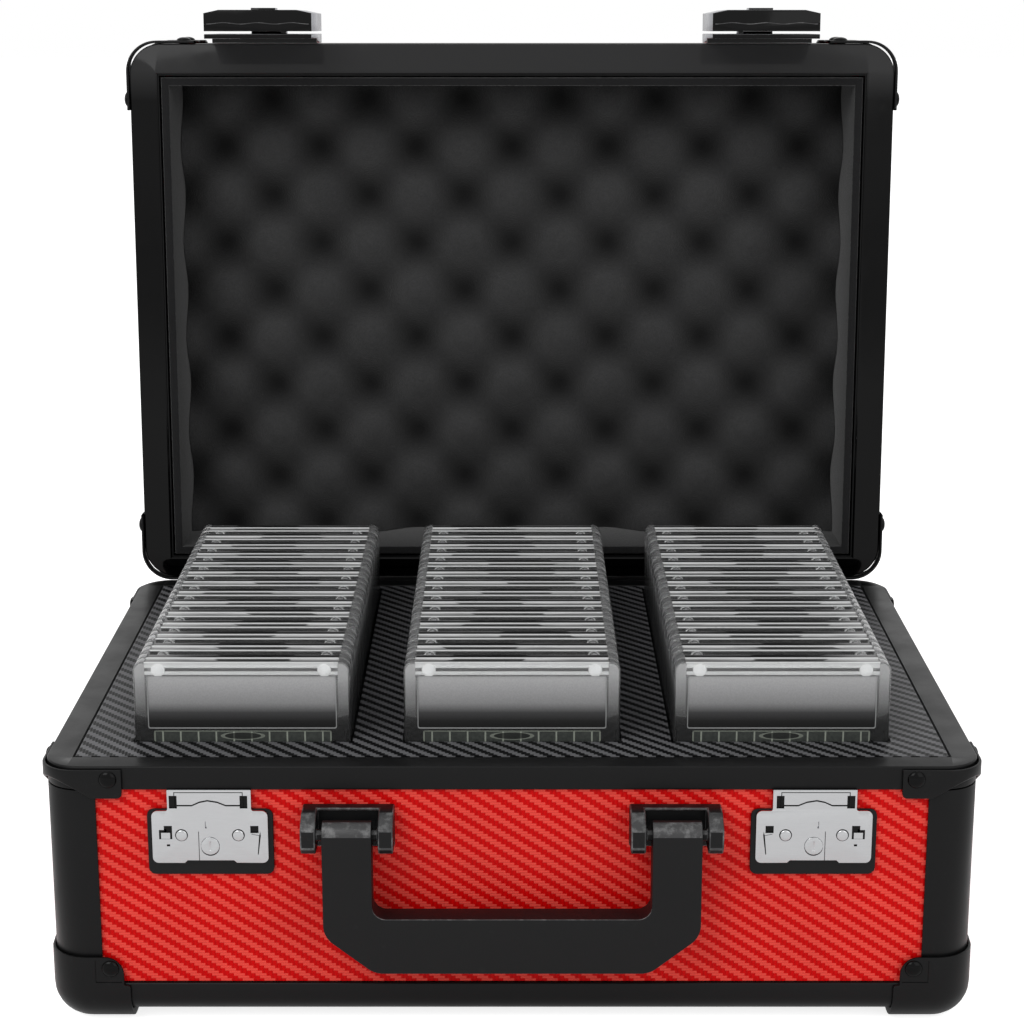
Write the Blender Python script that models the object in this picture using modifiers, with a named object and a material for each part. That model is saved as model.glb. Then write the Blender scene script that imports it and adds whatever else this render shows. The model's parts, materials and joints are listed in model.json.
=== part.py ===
# Graded card storage case: a black framed case with red twill walls, a foam insert and three rows of
# clear card slabs, standing on its corner caps with the lid open.
# Metres, +Z up, the front faces -Y. The case is built closed around its own middle, in plan, and the
# lid is then turned open about the rear hinge. Heights count from the floor.

import math

import bmesh
import bpy
from mathutils import Matrix, Vector

# Whole case
CASE_WIDTH = 0.343
CASE_DEPTH = 0.2448
BASE_HEIGHT = 0.1029
LID_HEIGHT = 0.0574
LID_OPEN_DEG = 92.5
FIT = 0.0003
OVERRUN = 0.004
WELD = 0.000001
ARC_STEPS = 5
SMALL_ARC_STEPS = 3
ROUND_STEPS = 16
PIN_STEPS = 12
SHARP_DEG = 35

# Walls
CORNER_RADIUS = 0.014
PANEL_THICKNESS = 0.005
PANEL_RECESS = 0.0013
POST_LEAF_LENGTH = 0.0194
POST_LEAF_THICKNESS = 0.001
POST_ARM_LENGTH = 0.014

# Edge frames at the floor and at the top of the lid
FRAME_HEIGHT = 0.0127
FRAME_EDGE_RADIUS = 0.008
FLOOR_THICKNESS = 0.004
FLOOR_INSET = 0.001

# Rims where the halves meet
RIM_GAP = 0.0004
BASE_RIM_WIDTH = 0.0105
BASE_RIM_HEIGHT = 0.009
LID_RIM_FRONT_WIDTH = 0.0134
LID_RIM_SIDE_WIDTH = 0.0126
LID_RIM_REAR_WIDTH = 0.0095
LID_RIM_HEIGHT = 0.009
LID_RIM_BEVEL = 0.0020

# Corner caps, which are the feet
CAP_PROUD = 0.0014
CAP_RISE = 0.0045
CAP_RADIUS = 0.013
CAP_FOOT_LENGTH = 0.0296
CAP_FOOT_HEIGHT = 0.0168
CAP_LEAF_LENGTH = 0.0273
CAP_LEAF_HEIGHT = 0.0281
CAP_LEAF_RADIUS = 0.007
CAP_RIVET_IN = 0.0224
CAP_RIVET_UP = 0.0237

# Corner brackets at the rims
BRACKET_LENGTH = 0.0294
BRACKET_DROP = 0.0120
BRACKET_TOP_INSET = 0.0010
BRACKET_CORNER_RADIUS = 0.0137
BRACKET_SLOPE_START = 0.0170
BRACKET_SLOPE_RISE = 0.0059
BRACKET_SLOPE_RUN = 0.0095
BRACKET_RIVET_IN = 0.0245
BRACKET_RIVET_DROP = 0.0045

# Rivets
RIVET_RADIUS = 0.0033
RIVET_TOP_RADIUS = 0.0020
RIVET_HEIGHT = 0.0015
RIVET_SINK = 0.0005

# Foam and its top sheet
SHEET_THICKNESS = 0.001
SLOT_CLEARANCE = 0.0008
LINER_INSET = 0.0015
LINER_THICKNESS = 0.0036
LINER_RECESS = 0.0011

# Card slabs
SLAB_WIDTH = 0.0807
SLAB_THICKNESS = 0.0118
SLAB_PITCH = 0.01462
SLAB_TOP_RISE = 0.0308
SLAB_HEADROOM = 0.0012
SLAB_RADIUS = 0.0035
SLAB_WEB_HEIGHT = 0.005
ROW_GAP_SHARE = 0.25156
ROW_FRONT_INSET = 0.027
ROW_REAR_INSET = 0.0155

# Latches, with heights measured down from the top of the base
LATCH_INSET = 0.0611
BACKING_WIDTH = 0.0461
BACKING_LOW_DROP = 0.0420
BACKING_TOP_DROP = 0.0164
BACKING_THICKNESS = 0.001
BACKING_RADIUS = 0.0025
RECEIVER_WIDTH = 0.0425
RECEIVER_LOW_DROP = 0.0370
RECEIVER_SHOULDER_DROP = 0.0166
RECEIVER_NECK_WIDTH = 0.0307
RECEIVER_TOP_DROP = 0.0084
RECEIVER_THICKNESS = 0.0012
RECEIVER_RADIUS = 0.0022
RECEIVER_NOTCH_WIDTH = 0.0170
RECEIVER_NOTCH_SLANT = 0.0010
RECEIVER_NOTCH_RISE = 0.0010
POCKET_WIDTH = 0.0254
POCKET_LOW_DROP = 0.0136
POCKET_TOP_DROP = 0.0097
POCKET_DEPTH = 0.0008
TAB_SLOT_X = 0.0164
TAB_SLOT_WIDTH = 0.0040
TAB_SLOT_LOW_DROP = 0.0280
TAB_SLOT_TOP_DROP = 0.0224
LOCK_DROP = 0.0302
LOCK_RADIUS = 0.0034
LOCK_PROUD = 0.0019
LOCK_SINK = 0.0007
KEY_SLOT_WIDTH = 0.0007
KEY_SLOT_LENGTH = 0.0036
KEY_SLOT_DEPTH = 0.0014

# Hasps, measured up the lid's front from the rim plane
HASP_WIDTH = 0.0468
HASP_DROP = 0.027
HASP_RISE = 0.0265
HASP_PLATE_THICKNESS = 0.004
HASP_TONGUE_CLEARANCE = 0.0023
HASP_TONGUE_START = 0.0007
HASP_GAP = 0.0012
HASP_BODY_THICKNESS = 0.0091
HASP_CHAMFER_RUN = 0.0065
HASP_CHAMFER_DROP = 0.0014
HASP_PIN_RISE = 0.0235
HASP_PIN_RADIUS = 0.0011
HASP_KNUCKLE_RADIUS = 0.0024
HASP_KNUCKLE_WIDTH = 0.016
HASP_POCKET_LOW = 0.0185
HASP_SKIN = 0.0008
HASP_PIN_LENGTH = 0.036
HASP_BOSS_WIDTH = 0.0108
HASP_BOSS_HEIGHT = 0.001
HASP_BOSS_LOW = -0.003
HASP_BOSS_TOP = 0.007
HASP_STEM_X = 0.0112
HASP_STEM_WIDTH = 0.0022
PIN_PLAY = 0.0004

# Handle, with heights measured down from the top of the base
HANDLE_CLEARANCE = 0.011
HANDLE_BACK = 0.006
HANDLE_FRONT = 0.016
HANDLE_ARM_WIDTH = 0.0179
HANDLE_TOP_DROP = 0.0168
HANDLE_LOW_DROP = 0.0743
HANDLE_GRIP_DROP = 0.0529
HANDLE_INNER_RADIUS = 0.005
HANDLE_CORNER_RISE = 0.0145
HANDLE_CORNER_RUN = 0.0185
HANDLE_CORNER_RADIUS = 0.009
HANDLE_SOFTEN = 0.0012
HANDLE_PIN_DROP = 0.0220
HANDLE_PIN_RADIUS = 0.0022
BRACKET_HALF_WIDTH = 0.01675
BRACKET_EAR_THICKNESS = 0.0055
BRACKET_LOW_DROP = 0.0306
BRACKET_TOP_DROP = 0.0146
BRACKET_PLATE_THICKNESS = 0.0022
BRACKET_ROOF_THICKNESS = 0.0012
BRACKET_ROOF_REACH = 0.0035
EAR_LOW_DROP = 0.0286
EAR_SHELF_REACH = 0.008
EAR_FRONT = 0.0150
EAR_SLOPE_DROP = 0.0189
EAR_CHIN_DROP = 0.0260
EAR_CHIN_REACH = 0.013

# Rear hinge
HINGE_END_CLEARANCE = 0.0121
HINGE_KNUCKLES = 5
HINGE_RADIUS = 0.0016
HINGE_LEAF_THICKNESS = 0.001
HINGE_LEAF_HEIGHT = 0.0085
HINGE_PIN_RADIUS = 0.0008
HINGE_BORE_RADIUS = 0.0011
HINGE_DROP = 0.0020

# Places worked out from the sizes above
HALF_WIDTH = CASE_WIDTH / 2
HALF_DEPTH = CASE_DEPTH / 2
FRONT = -HALF_DEPTH
WALL = PANEL_RECESS + PANEL_THICKNESS
TOTAL_HEIGHT = BASE_HEIGHT + LID_HEIGHT
LID_LOW = BASE_HEIGHT + RIM_GAP
FRAME_TOP = CAP_RISE + FRAME_HEIGHT
LID_FRAME_LOW = TOTAL_HEIGHT - FRAME_TOP
FLOOR_TOP = CAP_RISE + FLOOR_INSET + FLOOR_THICKNESS
CEILING = TOTAL_HEIGHT - FLOOR_TOP
BASE_RIM_LOW = BASE_HEIGHT - BASE_RIM_HEIGHT
LID_RIM_TOP = LID_LOW + LID_RIM_HEIGHT
HINGE_Y = HALF_DEPTH + FIT + HINGE_RADIUS
HINGE_Z = BASE_HEIGHT - HINGE_DROP
HINGE_LENGTH = CASE_WIDTH - (BRACKET_LENGTH + HINGE_END_CLEARANCE) * 2

# Rows of slabs: as many as the depth takes, spread over the width that they leave free
ROW_SPACE = CASE_DEPTH - ROW_FRONT_INSET - ROW_REAR_INSET
SLAB_COUNT = math.floor((ROW_SPACE - SLAB_THICKNESS) / SLAB_PITCH) + 1
ROW_LENGTH = (SLAB_COUNT - 1) * SLAB_PITCH + SLAB_THICKNESS
ROW_FRONT = FRONT + ROW_FRONT_INSET
ROW_FREE_WIDTH = CASE_WIDTH - BASE_RIM_WIDTH * 2 - SLAB_WIDTH * 3
ROW_PITCH = SLAB_WIDTH + ROW_FREE_WIDTH * ROW_GAP_SHARE
SLAB_LOW = FLOOR_TOP + FIT
SLAB_TOP = BASE_HEIGHT + SLAB_TOP_RISE
LID_FOAM_DEPTH = SLAB_TOP_RISE + SLAB_HEADROOM

# Latches and handle, hung from the top of the base
LATCH_X = HALF_WIDTH - LATCH_INSET
BACKING_LOW = BASE_HEIGHT - BACKING_LOW_DROP
BACKING_TOP = BASE_HEIGHT - BACKING_TOP_DROP
RECEIVER_LOW = BASE_HEIGHT - RECEIVER_LOW_DROP
RECEIVER_SHOULDER = BASE_HEIGHT - RECEIVER_SHOULDER_DROP
RECEIVER_TOP = BASE_HEIGHT - RECEIVER_TOP_DROP
POCKET_LOW = BASE_HEIGHT - POCKET_LOW_DROP
POCKET_TOP = BASE_HEIGHT - POCKET_TOP_DROP
TAB_SLOT_LOW = BASE_HEIGHT - TAB_SLOT_LOW_DROP
TAB_SLOT_TOP = BASE_HEIGHT - TAB_SLOT_TOP_DROP
LOCK_HEIGHT = BASE_HEIGHT - LOCK_DROP
RECEIVER_BACK = PANEL_RECESS - FIT - BACKING_THICKNESS - FIT
HASP_BODY_LOW = FIT + HASP_PLATE_THICKNESS + HASP_GAP
HASP_BODY_TOP = HASP_BODY_LOW + HASP_BODY_THICKNESS
HASP_PIN_OUT = HASP_BODY_LOW + HASP_BODY_THICKNESS / 2
HANDLE_X = LATCH_X - BACKING_WIDTH / 2 - HANDLE_CLEARANCE - BRACKET_HALF_WIDTH
HANDLE_TOP = BASE_HEIGHT - HANDLE_TOP_DROP
HANDLE_LOW = BASE_HEIGHT - HANDLE_LOW_DROP
HANDLE_GRIP_TOP = BASE_HEIGHT - HANDLE_GRIP_DROP
HANDLE_PIN_HEIGHT = BASE_HEIGHT - HANDLE_PIN_DROP
HANDLE_PIN_OUT = (HANDLE_BACK + HANDLE_FRONT) / 2
BRACKET_LOW = BASE_HEIGHT - BRACKET_LOW_DROP
BRACKET_TOP = BASE_HEIGHT - BRACKET_TOP_DROP
EAR_LOW = BASE_HEIGHT - EAR_LOW_DROP
EAR_SLOPE_LOW = BASE_HEIGHT - EAR_SLOPE_DROP
EAR_CHIN = BASE_HEIGHT - EAR_CHIN_DROP

# How far the open lid reaches behind the hinge, and the shift that centres the open case over the origin
LID_SWING = math.radians(LID_OPEN_DEG)
LID_FAR_CORNER = (HALF_DEPTH + HINGE_Y + CAP_PROUD, TOTAL_HEIGHT - HINGE_Z)
OPEN_BACK = HINGE_Y - LID_FAR_CORNER[0] * math.cos(LID_SWING) + LID_FAR_CORNER[1] * math.sin(LID_SWING)
OPEN_FRONT = FRONT - HANDLE_FRONT
CENTRE_SHIFT = -(OPEN_BACK + OPEN_FRONT) / 2


def clear_scene():
    for obj in list(bpy.data.objects):
        bpy.data.objects.remove(obj, do_unlink=True)


def new_collection(name):
    collection = bpy.data.collections.new(name)
    bpy.context.scene.collection.children.link(collection)
    return collection


def new_material(name, colour, roughness, metallic=0.0, transmission=0.0):
    look = bpy.data.materials.new(name)
    look.use_nodes = True
    shader = look.node_tree.nodes["Principled BSDF"]
    shader.inputs["Base Color"].default_value = (*colour, 1.0)
    shader.inputs["Roughness"].default_value = roughness
    shader.inputs["Metallic"].default_value = metallic
    shader.inputs["Transmission Weight"].default_value = transmission
    look.diffuse_color = (*colour, 1.0)
    return look


clear_scene()
PARTS = new_collection("graded_card_case")
CUTTERS = new_collection("cutters")
RED_TWILL = new_material("red_twill", (0.62, 0.02, 0.02), 0.35)
BLACK_TWILL = new_material("black_twill", (0.03, 0.03, 0.03), 0.4)
BLACK_FRAME = new_material("black_frame", (0.014, 0.014, 0.014), 0.4)
BLACK_GLOSS = new_material("black_gloss", (0.008, 0.008, 0.008), 0.12)
BLACK_PLASTIC = new_material("black_plastic", (0.016, 0.016, 0.016), 0.5)
CHARCOAL_FOAM = new_material("charcoal_foam", (0.03, 0.03, 0.03), 0.95)
CHROME = new_material("chrome", (0.75, 0.75, 0.76), 0.12, metallic=1.0)
CLEAR_PLASTIC = new_material("clear_plastic", (0.9, 0.9, 0.9), 0.05, transmission=0.9)
LINING = new_material("floor_board", (0.05, 0.05, 0.05), 0.8)


def add_object(name, mesh, look):
    """Links a piece to the case, or a tool to the cutters when it has no look of its own."""
    obj = bpy.data.objects.new(name, mesh)
    if look:
        mesh.materials.append(look)
        PARTS.objects.link(obj)
    else:
        obj.hide_render = True
        obj.display_type = "WIRE"
        CUTTERS.objects.link(obj)
    return obj


def finish_mesh(name, bm, look, location):
    mesh = bpy.data.meshes.new(name)
    bm.to_mesh(mesh)
    bm.free()
    obj = add_object(name, mesh, look)
    obj.location = location
    return obj


def block(name, low, high, look=None):
    bm = bmesh.new()
    bmesh.ops.create_cube(bm, size=1.0)
    bmesh.ops.scale(bm, vec=[b - a for a, b in zip(low, high)], verts=bm.verts)
    return finish_mesh(name, bm, look, [(a + b) / 2 for a, b in zip(low, high)])


def cylinder(name, centre, radius, length, axis, look=None, top_radius=None, steps=ROUND_STEPS):
    """A cylinder or cone along an axis; a cone narrows towards that axis's direction."""
    bm = bmesh.new()
    far_radius = radius if top_radius is None else top_radius
    bmesh.ops.create_cone(bm, cap_ends=True, segments=steps, radius1=radius, radius2=far_radius, depth=length)
    turn = Vector((0, 0, 1)).rotation_difference(Vector(axis)).to_matrix()
    bmesh.ops.transform(bm, matrix=turn.to_4x4(), verts=bm.verts)
    return finish_mesh(name, bm, look, centre)


def round_edges(obj, radius, steps, pick):
    """Rounds the edges that pick chooses by their two ends in the object's own space."""
    bm = bmesh.new()
    bm.from_mesh(obj.data)
    edges = [e for e in bm.edges if pick(e.verts[0].co, e.verts[1].co)]
    bmesh.ops.bevel(bm, geom=edges, offset=radius, segments=steps, profile=0.5, affect="EDGES")
    bm.to_mesh(obj.data)
    bm.free()


def is_upright(a, b):
    return (a - b).xy.length < WELD


def rounded(corners, steps=ARC_STEPS):
    """Turns corners (u, v, radius) into an outline with an arc at each corner that has a radius."""
    outline = []
    for i, (u, v, radius) in enumerate(corners):
        here = Vector((u, v))
        if not radius:
            outline.append((u, v))
            continue
        back = (Vector(corners[i - 1][:2]) - here).normalized()
        ahead = (Vector(corners[(i + 1) % len(corners)][:2]) - here).normalized()
        half = back.angle(ahead) / 2
        centre = here + (back + ahead).normalized() * radius / math.sin(half)
        start = here + back * radius / math.tan(half) - centre
        end = here + ahead * radius / math.tan(half) - centre
        first = math.atan2(start.y, start.x)
        sweep = (math.atan2(end.y, end.x) - first + math.pi) % math.tau - math.pi
        for k in range(steps + 1):
            angle = first + sweep * k / steps
            outline.append((centre.x + radius * math.cos(angle), centre.y + radius * math.sin(angle)))
    return outline


def rectangle(half_u, half_v, radius=0, centre_u=0, centre_v=0, steps=ARC_STEPS):
    signs = ((-1, -1), (1, -1), (1, 1), (-1, 1))
    return rounded([(centre_u + half_u * a, centre_v + half_v * b, radius) for a, b in signs], steps)


FACING = {
    "X": Matrix(((0, 0, 1), (1, 0, 0), (0, 1, 0))),
    "Y": Matrix(((1, 0, 0), (0, 0, -1), (0, 1, 0))),
    "Z": Matrix(((1, 0, 0), (0, 1, 0), (0, 0, 1))),
}


def prism(name, outline, low, high, facing, look=None, holes=()):
    """A flat outline with holes, pushed from low to high along the axis that it faces."""
    curve = bpy.data.curves.new(name, "CURVE")
    curve.dimensions = "2D"
    curve.fill_mode = "BOTH"
    curve.extrude = (high - low) / 2
    for loop in (outline, *holes):
        spline = curve.splines.new("POLY")
        spline.points.add(len(loop) - 1)
        for point, (u, v) in zip(spline.points, loop):
            point.co = (u, v, 0, 1)
        spline.use_cyclic_u = True
    guide = bpy.data.objects.new(name, curve)
    bpy.context.scene.collection.objects.link(guide)
    bpy.context.view_layer.update()
    mesh = bpy.data.meshes.new_from_object(guide.evaluated_get(bpy.context.evaluated_depsgraph_get()))
    bpy.data.objects.remove(guide, do_unlink=True)
    bm = bmesh.new()
    bm.from_mesh(mesh)
    bmesh.ops.remove_doubles(bm, verts=bm.verts, dist=WELD)
    bmesh.ops.transform(bm, matrix=FACING[facing].to_4x4(), verts=bm.verts)
    bmesh.ops.recalc_face_normals(bm, faces=bm.faces)
    bpy.data.meshes.remove(mesh)
    return finish_mesh(name, bm, look, [(low + high) / 2 if axis == facing else 0 for axis in "XYZ"])


def combine(piece, tool, operation):
    """Adds, cuts or keeps by a tool, which stays with its piece as a hidden guide."""
    bpy.context.view_layer.update()
    tool.parent = piece
    tool.matrix_parent_inverse = piece.matrix_world.inverted()
    modifier = piece.modifiers.new(tool.name, "BOOLEAN")
    modifier.operation = operation
    modifier.solver = "EXACT"
    modifier.object = tool


def add(piece, *tools):
    for tool in tools:
        combine(piece, tool, "UNION")


def cut(piece, *tools):
    for tool in tools:
        combine(piece, tool, "DIFFERENCE")


def keep(piece, *tools):
    for tool in tools:
        combine(piece, tool, "INTERSECT")


def flipped(source, name, axes="", lift=0):
    """A copy of a finished piece, mirrored through the case's middle along axes, then lifted."""
    bpy.context.view_layer.update()
    depsgraph = bpy.context.evaluated_depsgraph_get()
    mesh = bpy.data.meshes.new_from_object(source.evaluated_get(depsgraph))
    signs = [-1 if axis in axes else 1 for axis in "XYZ"]
    mesh.transform(Matrix.Diagonal((*signs, 1)) @ source.matrix_world)
    if len(axes) % 2:
        mesh.flip_normals()
    obj = bpy.data.objects.new(name, mesh)
    obj.location = (0, 0, lift)
    PARTS.objects.link(obj)
    return obj


def corner_set(source, pattern):
    """The front left piece and its three mirrored copies, named by corner."""
    source.name = pattern.format("front_left")
    places = {"front_right": "X", "rear_left": "Y", "rear_right": "XY"}
    return [source] + [flipped(source, pattern.format(place), axes) for place, axes in places.items()]


def shade_round(obj):
    obj.data.shade_smooth()
    obj.data.set_sharp_from_angle(angle=math.radians(SHARP_DEG))


def new_pivot(name, location, parent):
    pivot = bpy.data.objects.new(name, None)
    pivot.location = location
    PARTS.objects.link(pivot)
    carry(parent, pivot)
    return pivot


def carry(parent, *pieces):
    """Hangs pieces on a parent without moving them."""
    bpy.context.view_layer.update()
    for piece in pieces:
        if parent:
            piece.parent = parent
            piece.matrix_parent_inverse = parent.matrix_world.inverted()


# Walls and frames


def wall_panels(prefix, low, high):
    """Four upright wall boards whose ends stop at the corner posts."""
    x_end = HALF_WIDTH - POST_ARM_LENGTH - FIT
    y_end = HALF_DEPTH - POST_ARM_LENGTH - FIT
    x_out, y_out = HALF_WIDTH - PANEL_RECESS, HALF_DEPTH - PANEL_RECESS
    x_in, y_in = HALF_WIDTH - WALL, HALF_DEPTH - WALL
    return [
        block(prefix + "_front_panel", (-x_end, -y_out, low), (x_end, -y_in, high), RED_TWILL),
        block(prefix + "_rear_panel", (-x_end, y_in, low), (x_end, y_out, high), RED_TWILL),
        block(prefix + "_left_panel", (-x_out, -y_end, low), (-x_in, y_end, high), RED_TWILL),
        block(prefix + "_right_panel", (x_in, -y_end, low), (x_out, y_end, high), RED_TWILL),
    ]


def corner_posts(prefix, low, high):
    """Rounded corner extrusions with a thin leaf over the end of each wall board."""
    corners = [
        (0, 0, CORNER_RADIUS),
        (POST_LEAF_LENGTH, 0, 0),
        (POST_LEAF_LENGTH, POST_LEAF_THICKNESS, 0),
        (POST_ARM_LENGTH, POST_LEAF_THICKNESS, 0),
        (POST_ARM_LENGTH, WALL, 0),
        (WALL, WALL, 0),
        (WALL, POST_ARM_LENGTH, 0),
        (POST_LEAF_THICKNESS, POST_ARM_LENGTH, 0),
        (POST_LEAF_THICKNESS, POST_LEAF_LENGTH, 0),
        (0, POST_LEAF_LENGTH, 0),
    ]
    outline = [(u - HALF_WIDTH, v - HALF_DEPTH) for u, v in rounded(corners)]
    post = prism(prefix + "_corner_post", outline, low, high, "Z", BLACK_FRAME)
    shade_round(post)
    return corner_set(post, prefix + "_corner_post_{}")


def bottom_frame():
    """The ring of edge extrusions, rounded at the corners and along its lower edge."""
    low, high = CAP_RISE, FRAME_TOP
    near, far = (-HALF_WIDTH, -HALF_DEPTH, low), (HALF_WIDTH, HALF_DEPTH, high)
    frame = block("base_bottom_frame", near, far, BLACK_FRAME)
    round_edges(frame, CORNER_RADIUS, ARC_STEPS, is_upright)
    lowest = min(v.co.z for v in frame.data.vertices) + WELD
    round_edges(frame, FRAME_EDGE_RADIUS, ARC_STEPS, lambda a, b: a.z < lowest and b.z < lowest)
    x_in, y_in = HALF_WIDTH - WALL, HALF_DEPTH - WALL
    cut(frame, block("frame_opening", (-x_in, -y_in, low - OVERRUN), (x_in, y_in, high + OVERRUN)))
    shade_round(frame)
    return frame


def bottom_panel():
    x, y = HALF_WIDTH - WALL - FIT, HALF_DEPTH - WALL - FIT
    return block("base_bottom_panel", (-x, -y, CAP_RISE + FLOOR_INSET), (x, y, FLOOR_TOP), LINING)


def base_rim():
    outline = rectangle(HALF_WIDTH, HALF_DEPTH, CORNER_RADIUS)
    opening = rectangle(HALF_WIDTH - BASE_RIM_WIDTH, HALF_DEPTH - BASE_RIM_WIDTH)
    rim = prism("base_rim", outline, BASE_RIM_LOW, BASE_HEIGHT, "Z", BLACK_FRAME, [opening])
    shade_round(rim)
    return rim


def lid_opening(inset, radius=0):
    """The outline inside the lid's rim, moved in by an inset; the rim is narrower beside the hinge."""
    half_u = HALF_WIDTH - LID_RIM_SIDE_WIDTH - inset
    half_v = HALF_DEPTH - (LID_RIM_FRONT_WIDTH + LID_RIM_REAR_WIDTH) / 2 - inset
    return rectangle(half_u, half_v, radius, centre_v=(LID_RIM_FRONT_WIDTH - LID_RIM_REAR_WIDTH) / 2)


def lid_rim():
    """A ring lofted through its section: the outer wall and a face that slopes up to the opening.
    The arcs of the rounded outer corners fan in to the square corners of the opening."""
    outer, inner = rectangle(HALF_WIDTH, HALF_DEPTH, CORNER_RADIUS), lid_opening(0, WELD)
    sections = [
        [(u, v, LID_RIM_TOP) for u, v in outer],
        [(u, v, LID_LOW + LID_RIM_BEVEL) for u, v in outer],
        [(u, v, LID_LOW) for u, v in inner],
        [(u, v, LID_RIM_TOP) for u, v in inner],
    ]
    bm = bmesh.new()
    rings = [[bm.verts.new(point) for point in section] for section in sections]
    for ring, above in zip(rings, rings[1:] + rings[:1]):
        for i in range(len(ring)):
            k = (i + 1) % len(ring)
            bm.faces.new((ring[i], ring[k], above[k], above[i]))
    bmesh.ops.remove_doubles(bm, verts=bm.verts, dist=WELD * ARC_STEPS)
    bmesh.ops.recalc_face_normals(bm, faces=bm.faces)
    return finish_mesh("lid_rim", bm, BLACK_GLOSS, (0, 0, 0))


# Corner hardware


def corner_shell(name, gap, low, radius, edge_radius, look=None):
    """A block over the front left corner, rounded upright and along its lower edges."""
    corner = (-HALF_WIDTH - gap, -HALF_DEPTH - gap, low)
    reach = CAP_FOOT_LENGTH + OVERRUN
    far = (corner[0] + reach, corner[1] + reach, CAP_LEAF_HEIGHT + OVERRUN)
    shell = block(name, corner, far, look)
    west = min(v.co.x for v in shell.data.vertices) + WELD
    south = min(v.co.y for v in shell.data.vertices) + WELD
    floor = min(v.co.z for v in shell.data.vertices) + WELD
    round_edges(shell, radius, ARC_STEPS, lambda a, b: is_upright(a, b) and a.x < west and a.y < south)
    inner_x, inner_y = west + radius, south + radius

    def on_lower_edge(a, b):
        middle = (a + b) / 2
        return a.z < floor and b.z < floor and (middle.x < west or middle.y < south or
                                                (middle.x < inner_x and middle.y < inner_y))

    round_edges(shell, edge_radius, ARC_STEPS, on_lower_edge)
    return shell


def rivet(name, x, z, out, face=FRONT):
    """A low rivet head that stands on a front face."""
    y = face - out + RIVET_SINK - (RIVET_HEIGHT + RIVET_SINK) / 2
    return cylinder(name, (x, y, z), RIVET_RADIUS, RIVET_HEIGHT + RIVET_SINK, (0, -1, 0),
                    top_radius=RIVET_TOP_RADIUS, steps=PIN_STEPS)


def side_rivet(name, y, z, out):
    """The same head on the left face."""
    x = -HALF_WIDTH - out + RIVET_SINK - (RIVET_HEIGHT + RIVET_SINK) / 2
    return cylinder(name, (x, y, z), RIVET_RADIUS, RIVET_HEIGHT + RIVET_SINK, (-1, 0, 0),
                    top_radius=RIVET_TOP_RADIUS, steps=PIN_STEPS)


def corner_cap():
    """A ball corner that is also the foot, with a rivetted leaf on each side."""
    cap = corner_shell("cap", CAP_PROUD, 0, CORNER_RADIUS + CAP_PROUD, CAP_RADIUS, BLACK_FRAME)
    hollow = corner_shell("cap_hollow", FIT, CAP_RISE - FIT, CORNER_RADIUS + FIT, FRAME_EDGE_RADIUS + FIT)
    cut(cap, hollow)
    before, beyond = -CAP_PROUD - OVERRUN, CAP_FOOT_LENGTH + OVERRUN * 2
    profile = rounded([
        (before, -OVERRUN, 0),
        (CAP_FOOT_LENGTH, -OVERRUN, 0),
        (CAP_FOOT_LENGTH, CAP_FOOT_HEIGHT, 0),
        (CAP_LEAF_LENGTH, CAP_FOOT_HEIGHT, 0),
        (CAP_LEAF_LENGTH, CAP_LEAF_HEIGHT, CAP_LEAF_RADIUS),
        (before, CAP_LEAF_HEIGHT, 0),
    ])
    from_front = [(u - HALF_WIDTH, z) for u, z in profile]
    from_side = [(u - HALF_DEPTH, z) for u, z in profile]
    keep(cap, prism("cap_front_profile", from_front, FRONT + before, FRONT + beyond, "Y"))
    keep(cap, prism("cap_side_profile", from_side, -HALF_WIDTH + before, -HALF_WIDTH + beyond, "X"))
    add(cap, rivet("cap_front_rivet", CAP_RIVET_IN - HALF_WIDTH, CAP_RIVET_UP, CAP_PROUD))
    add(cap, side_rivet("cap_side_rivet", CAP_RIVET_IN - HALF_DEPTH, CAP_RIVET_UP, CAP_PROUD))
    shade_round(cap)
    return cap


def rim_bracket():
    """A strap bent around the corner under the rim, cut on the slant where it passes the post."""
    inner_radius = BRACKET_CORNER_RADIUS - (CAP_PROUD - FIT)
    outline = rounded([
        (-CAP_PROUD, -CAP_PROUD, BRACKET_CORNER_RADIUS),
        (BRACKET_LENGTH, -CAP_PROUD, 0),
        (BRACKET_LENGTH, -FIT, 0),
        (-FIT, -FIT, inner_radius),
        (-FIT, BRACKET_LENGTH, 0),
        (-CAP_PROUD, BRACKET_LENGTH, 0),
    ])
    outline = [(u - HALF_WIDTH, v - HALF_DEPTH) for u, v in outline]
    low, high = BASE_HEIGHT - BRACKET_DROP, BASE_HEIGHT - BRACKET_TOP_INSET
    strap = prism("strap", outline, low, high, "Z", BLACK_FRAME)
    cut(strap, slant_cutter(low))
    rivet_height = BASE_HEIGHT - BRACKET_RIVET_DROP
    add(strap, rivet("strap_front_rivet", BRACKET_RIVET_IN - HALF_WIDTH, rivet_height, CAP_PROUD))
    add(strap, side_rivet("strap_side_rivet", BRACKET_RIVET_IN - HALF_DEPTH, rivet_height, CAP_PROUD))
    shade_round(strap)
    return strap


def slant_cutter(low):
    """A wedge under a plane that rises towards the corner, across the corner's diagonal."""
    diagonal = math.sqrt(2)
    start = BRACKET_SLOPE_START / diagonal
    run = BRACKET_SLOPE_RUN / diagonal
    reach = CORNER_RADIUS
    rise = BRACKET_SLOPE_RISE * (start + reach) / run
    outline = [(start, low), (-reach, low + rise), (-reach, low - OVERRUN), (start, low - OVERRUN)]
    wedge = prism("strap_slant", outline, -BRACKET_LENGTH, BRACKET_LENGTH, "Y")
    wedge.location = (-HALF_WIDTH, -HALF_DEPTH, 0)
    wedge.rotation_euler = (0, 0, math.radians(45))
    return wedge


# Contents


def slab_centres():
    return {"left": -ROW_PITCH, "middle": 0, "right": ROW_PITCH}


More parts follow.
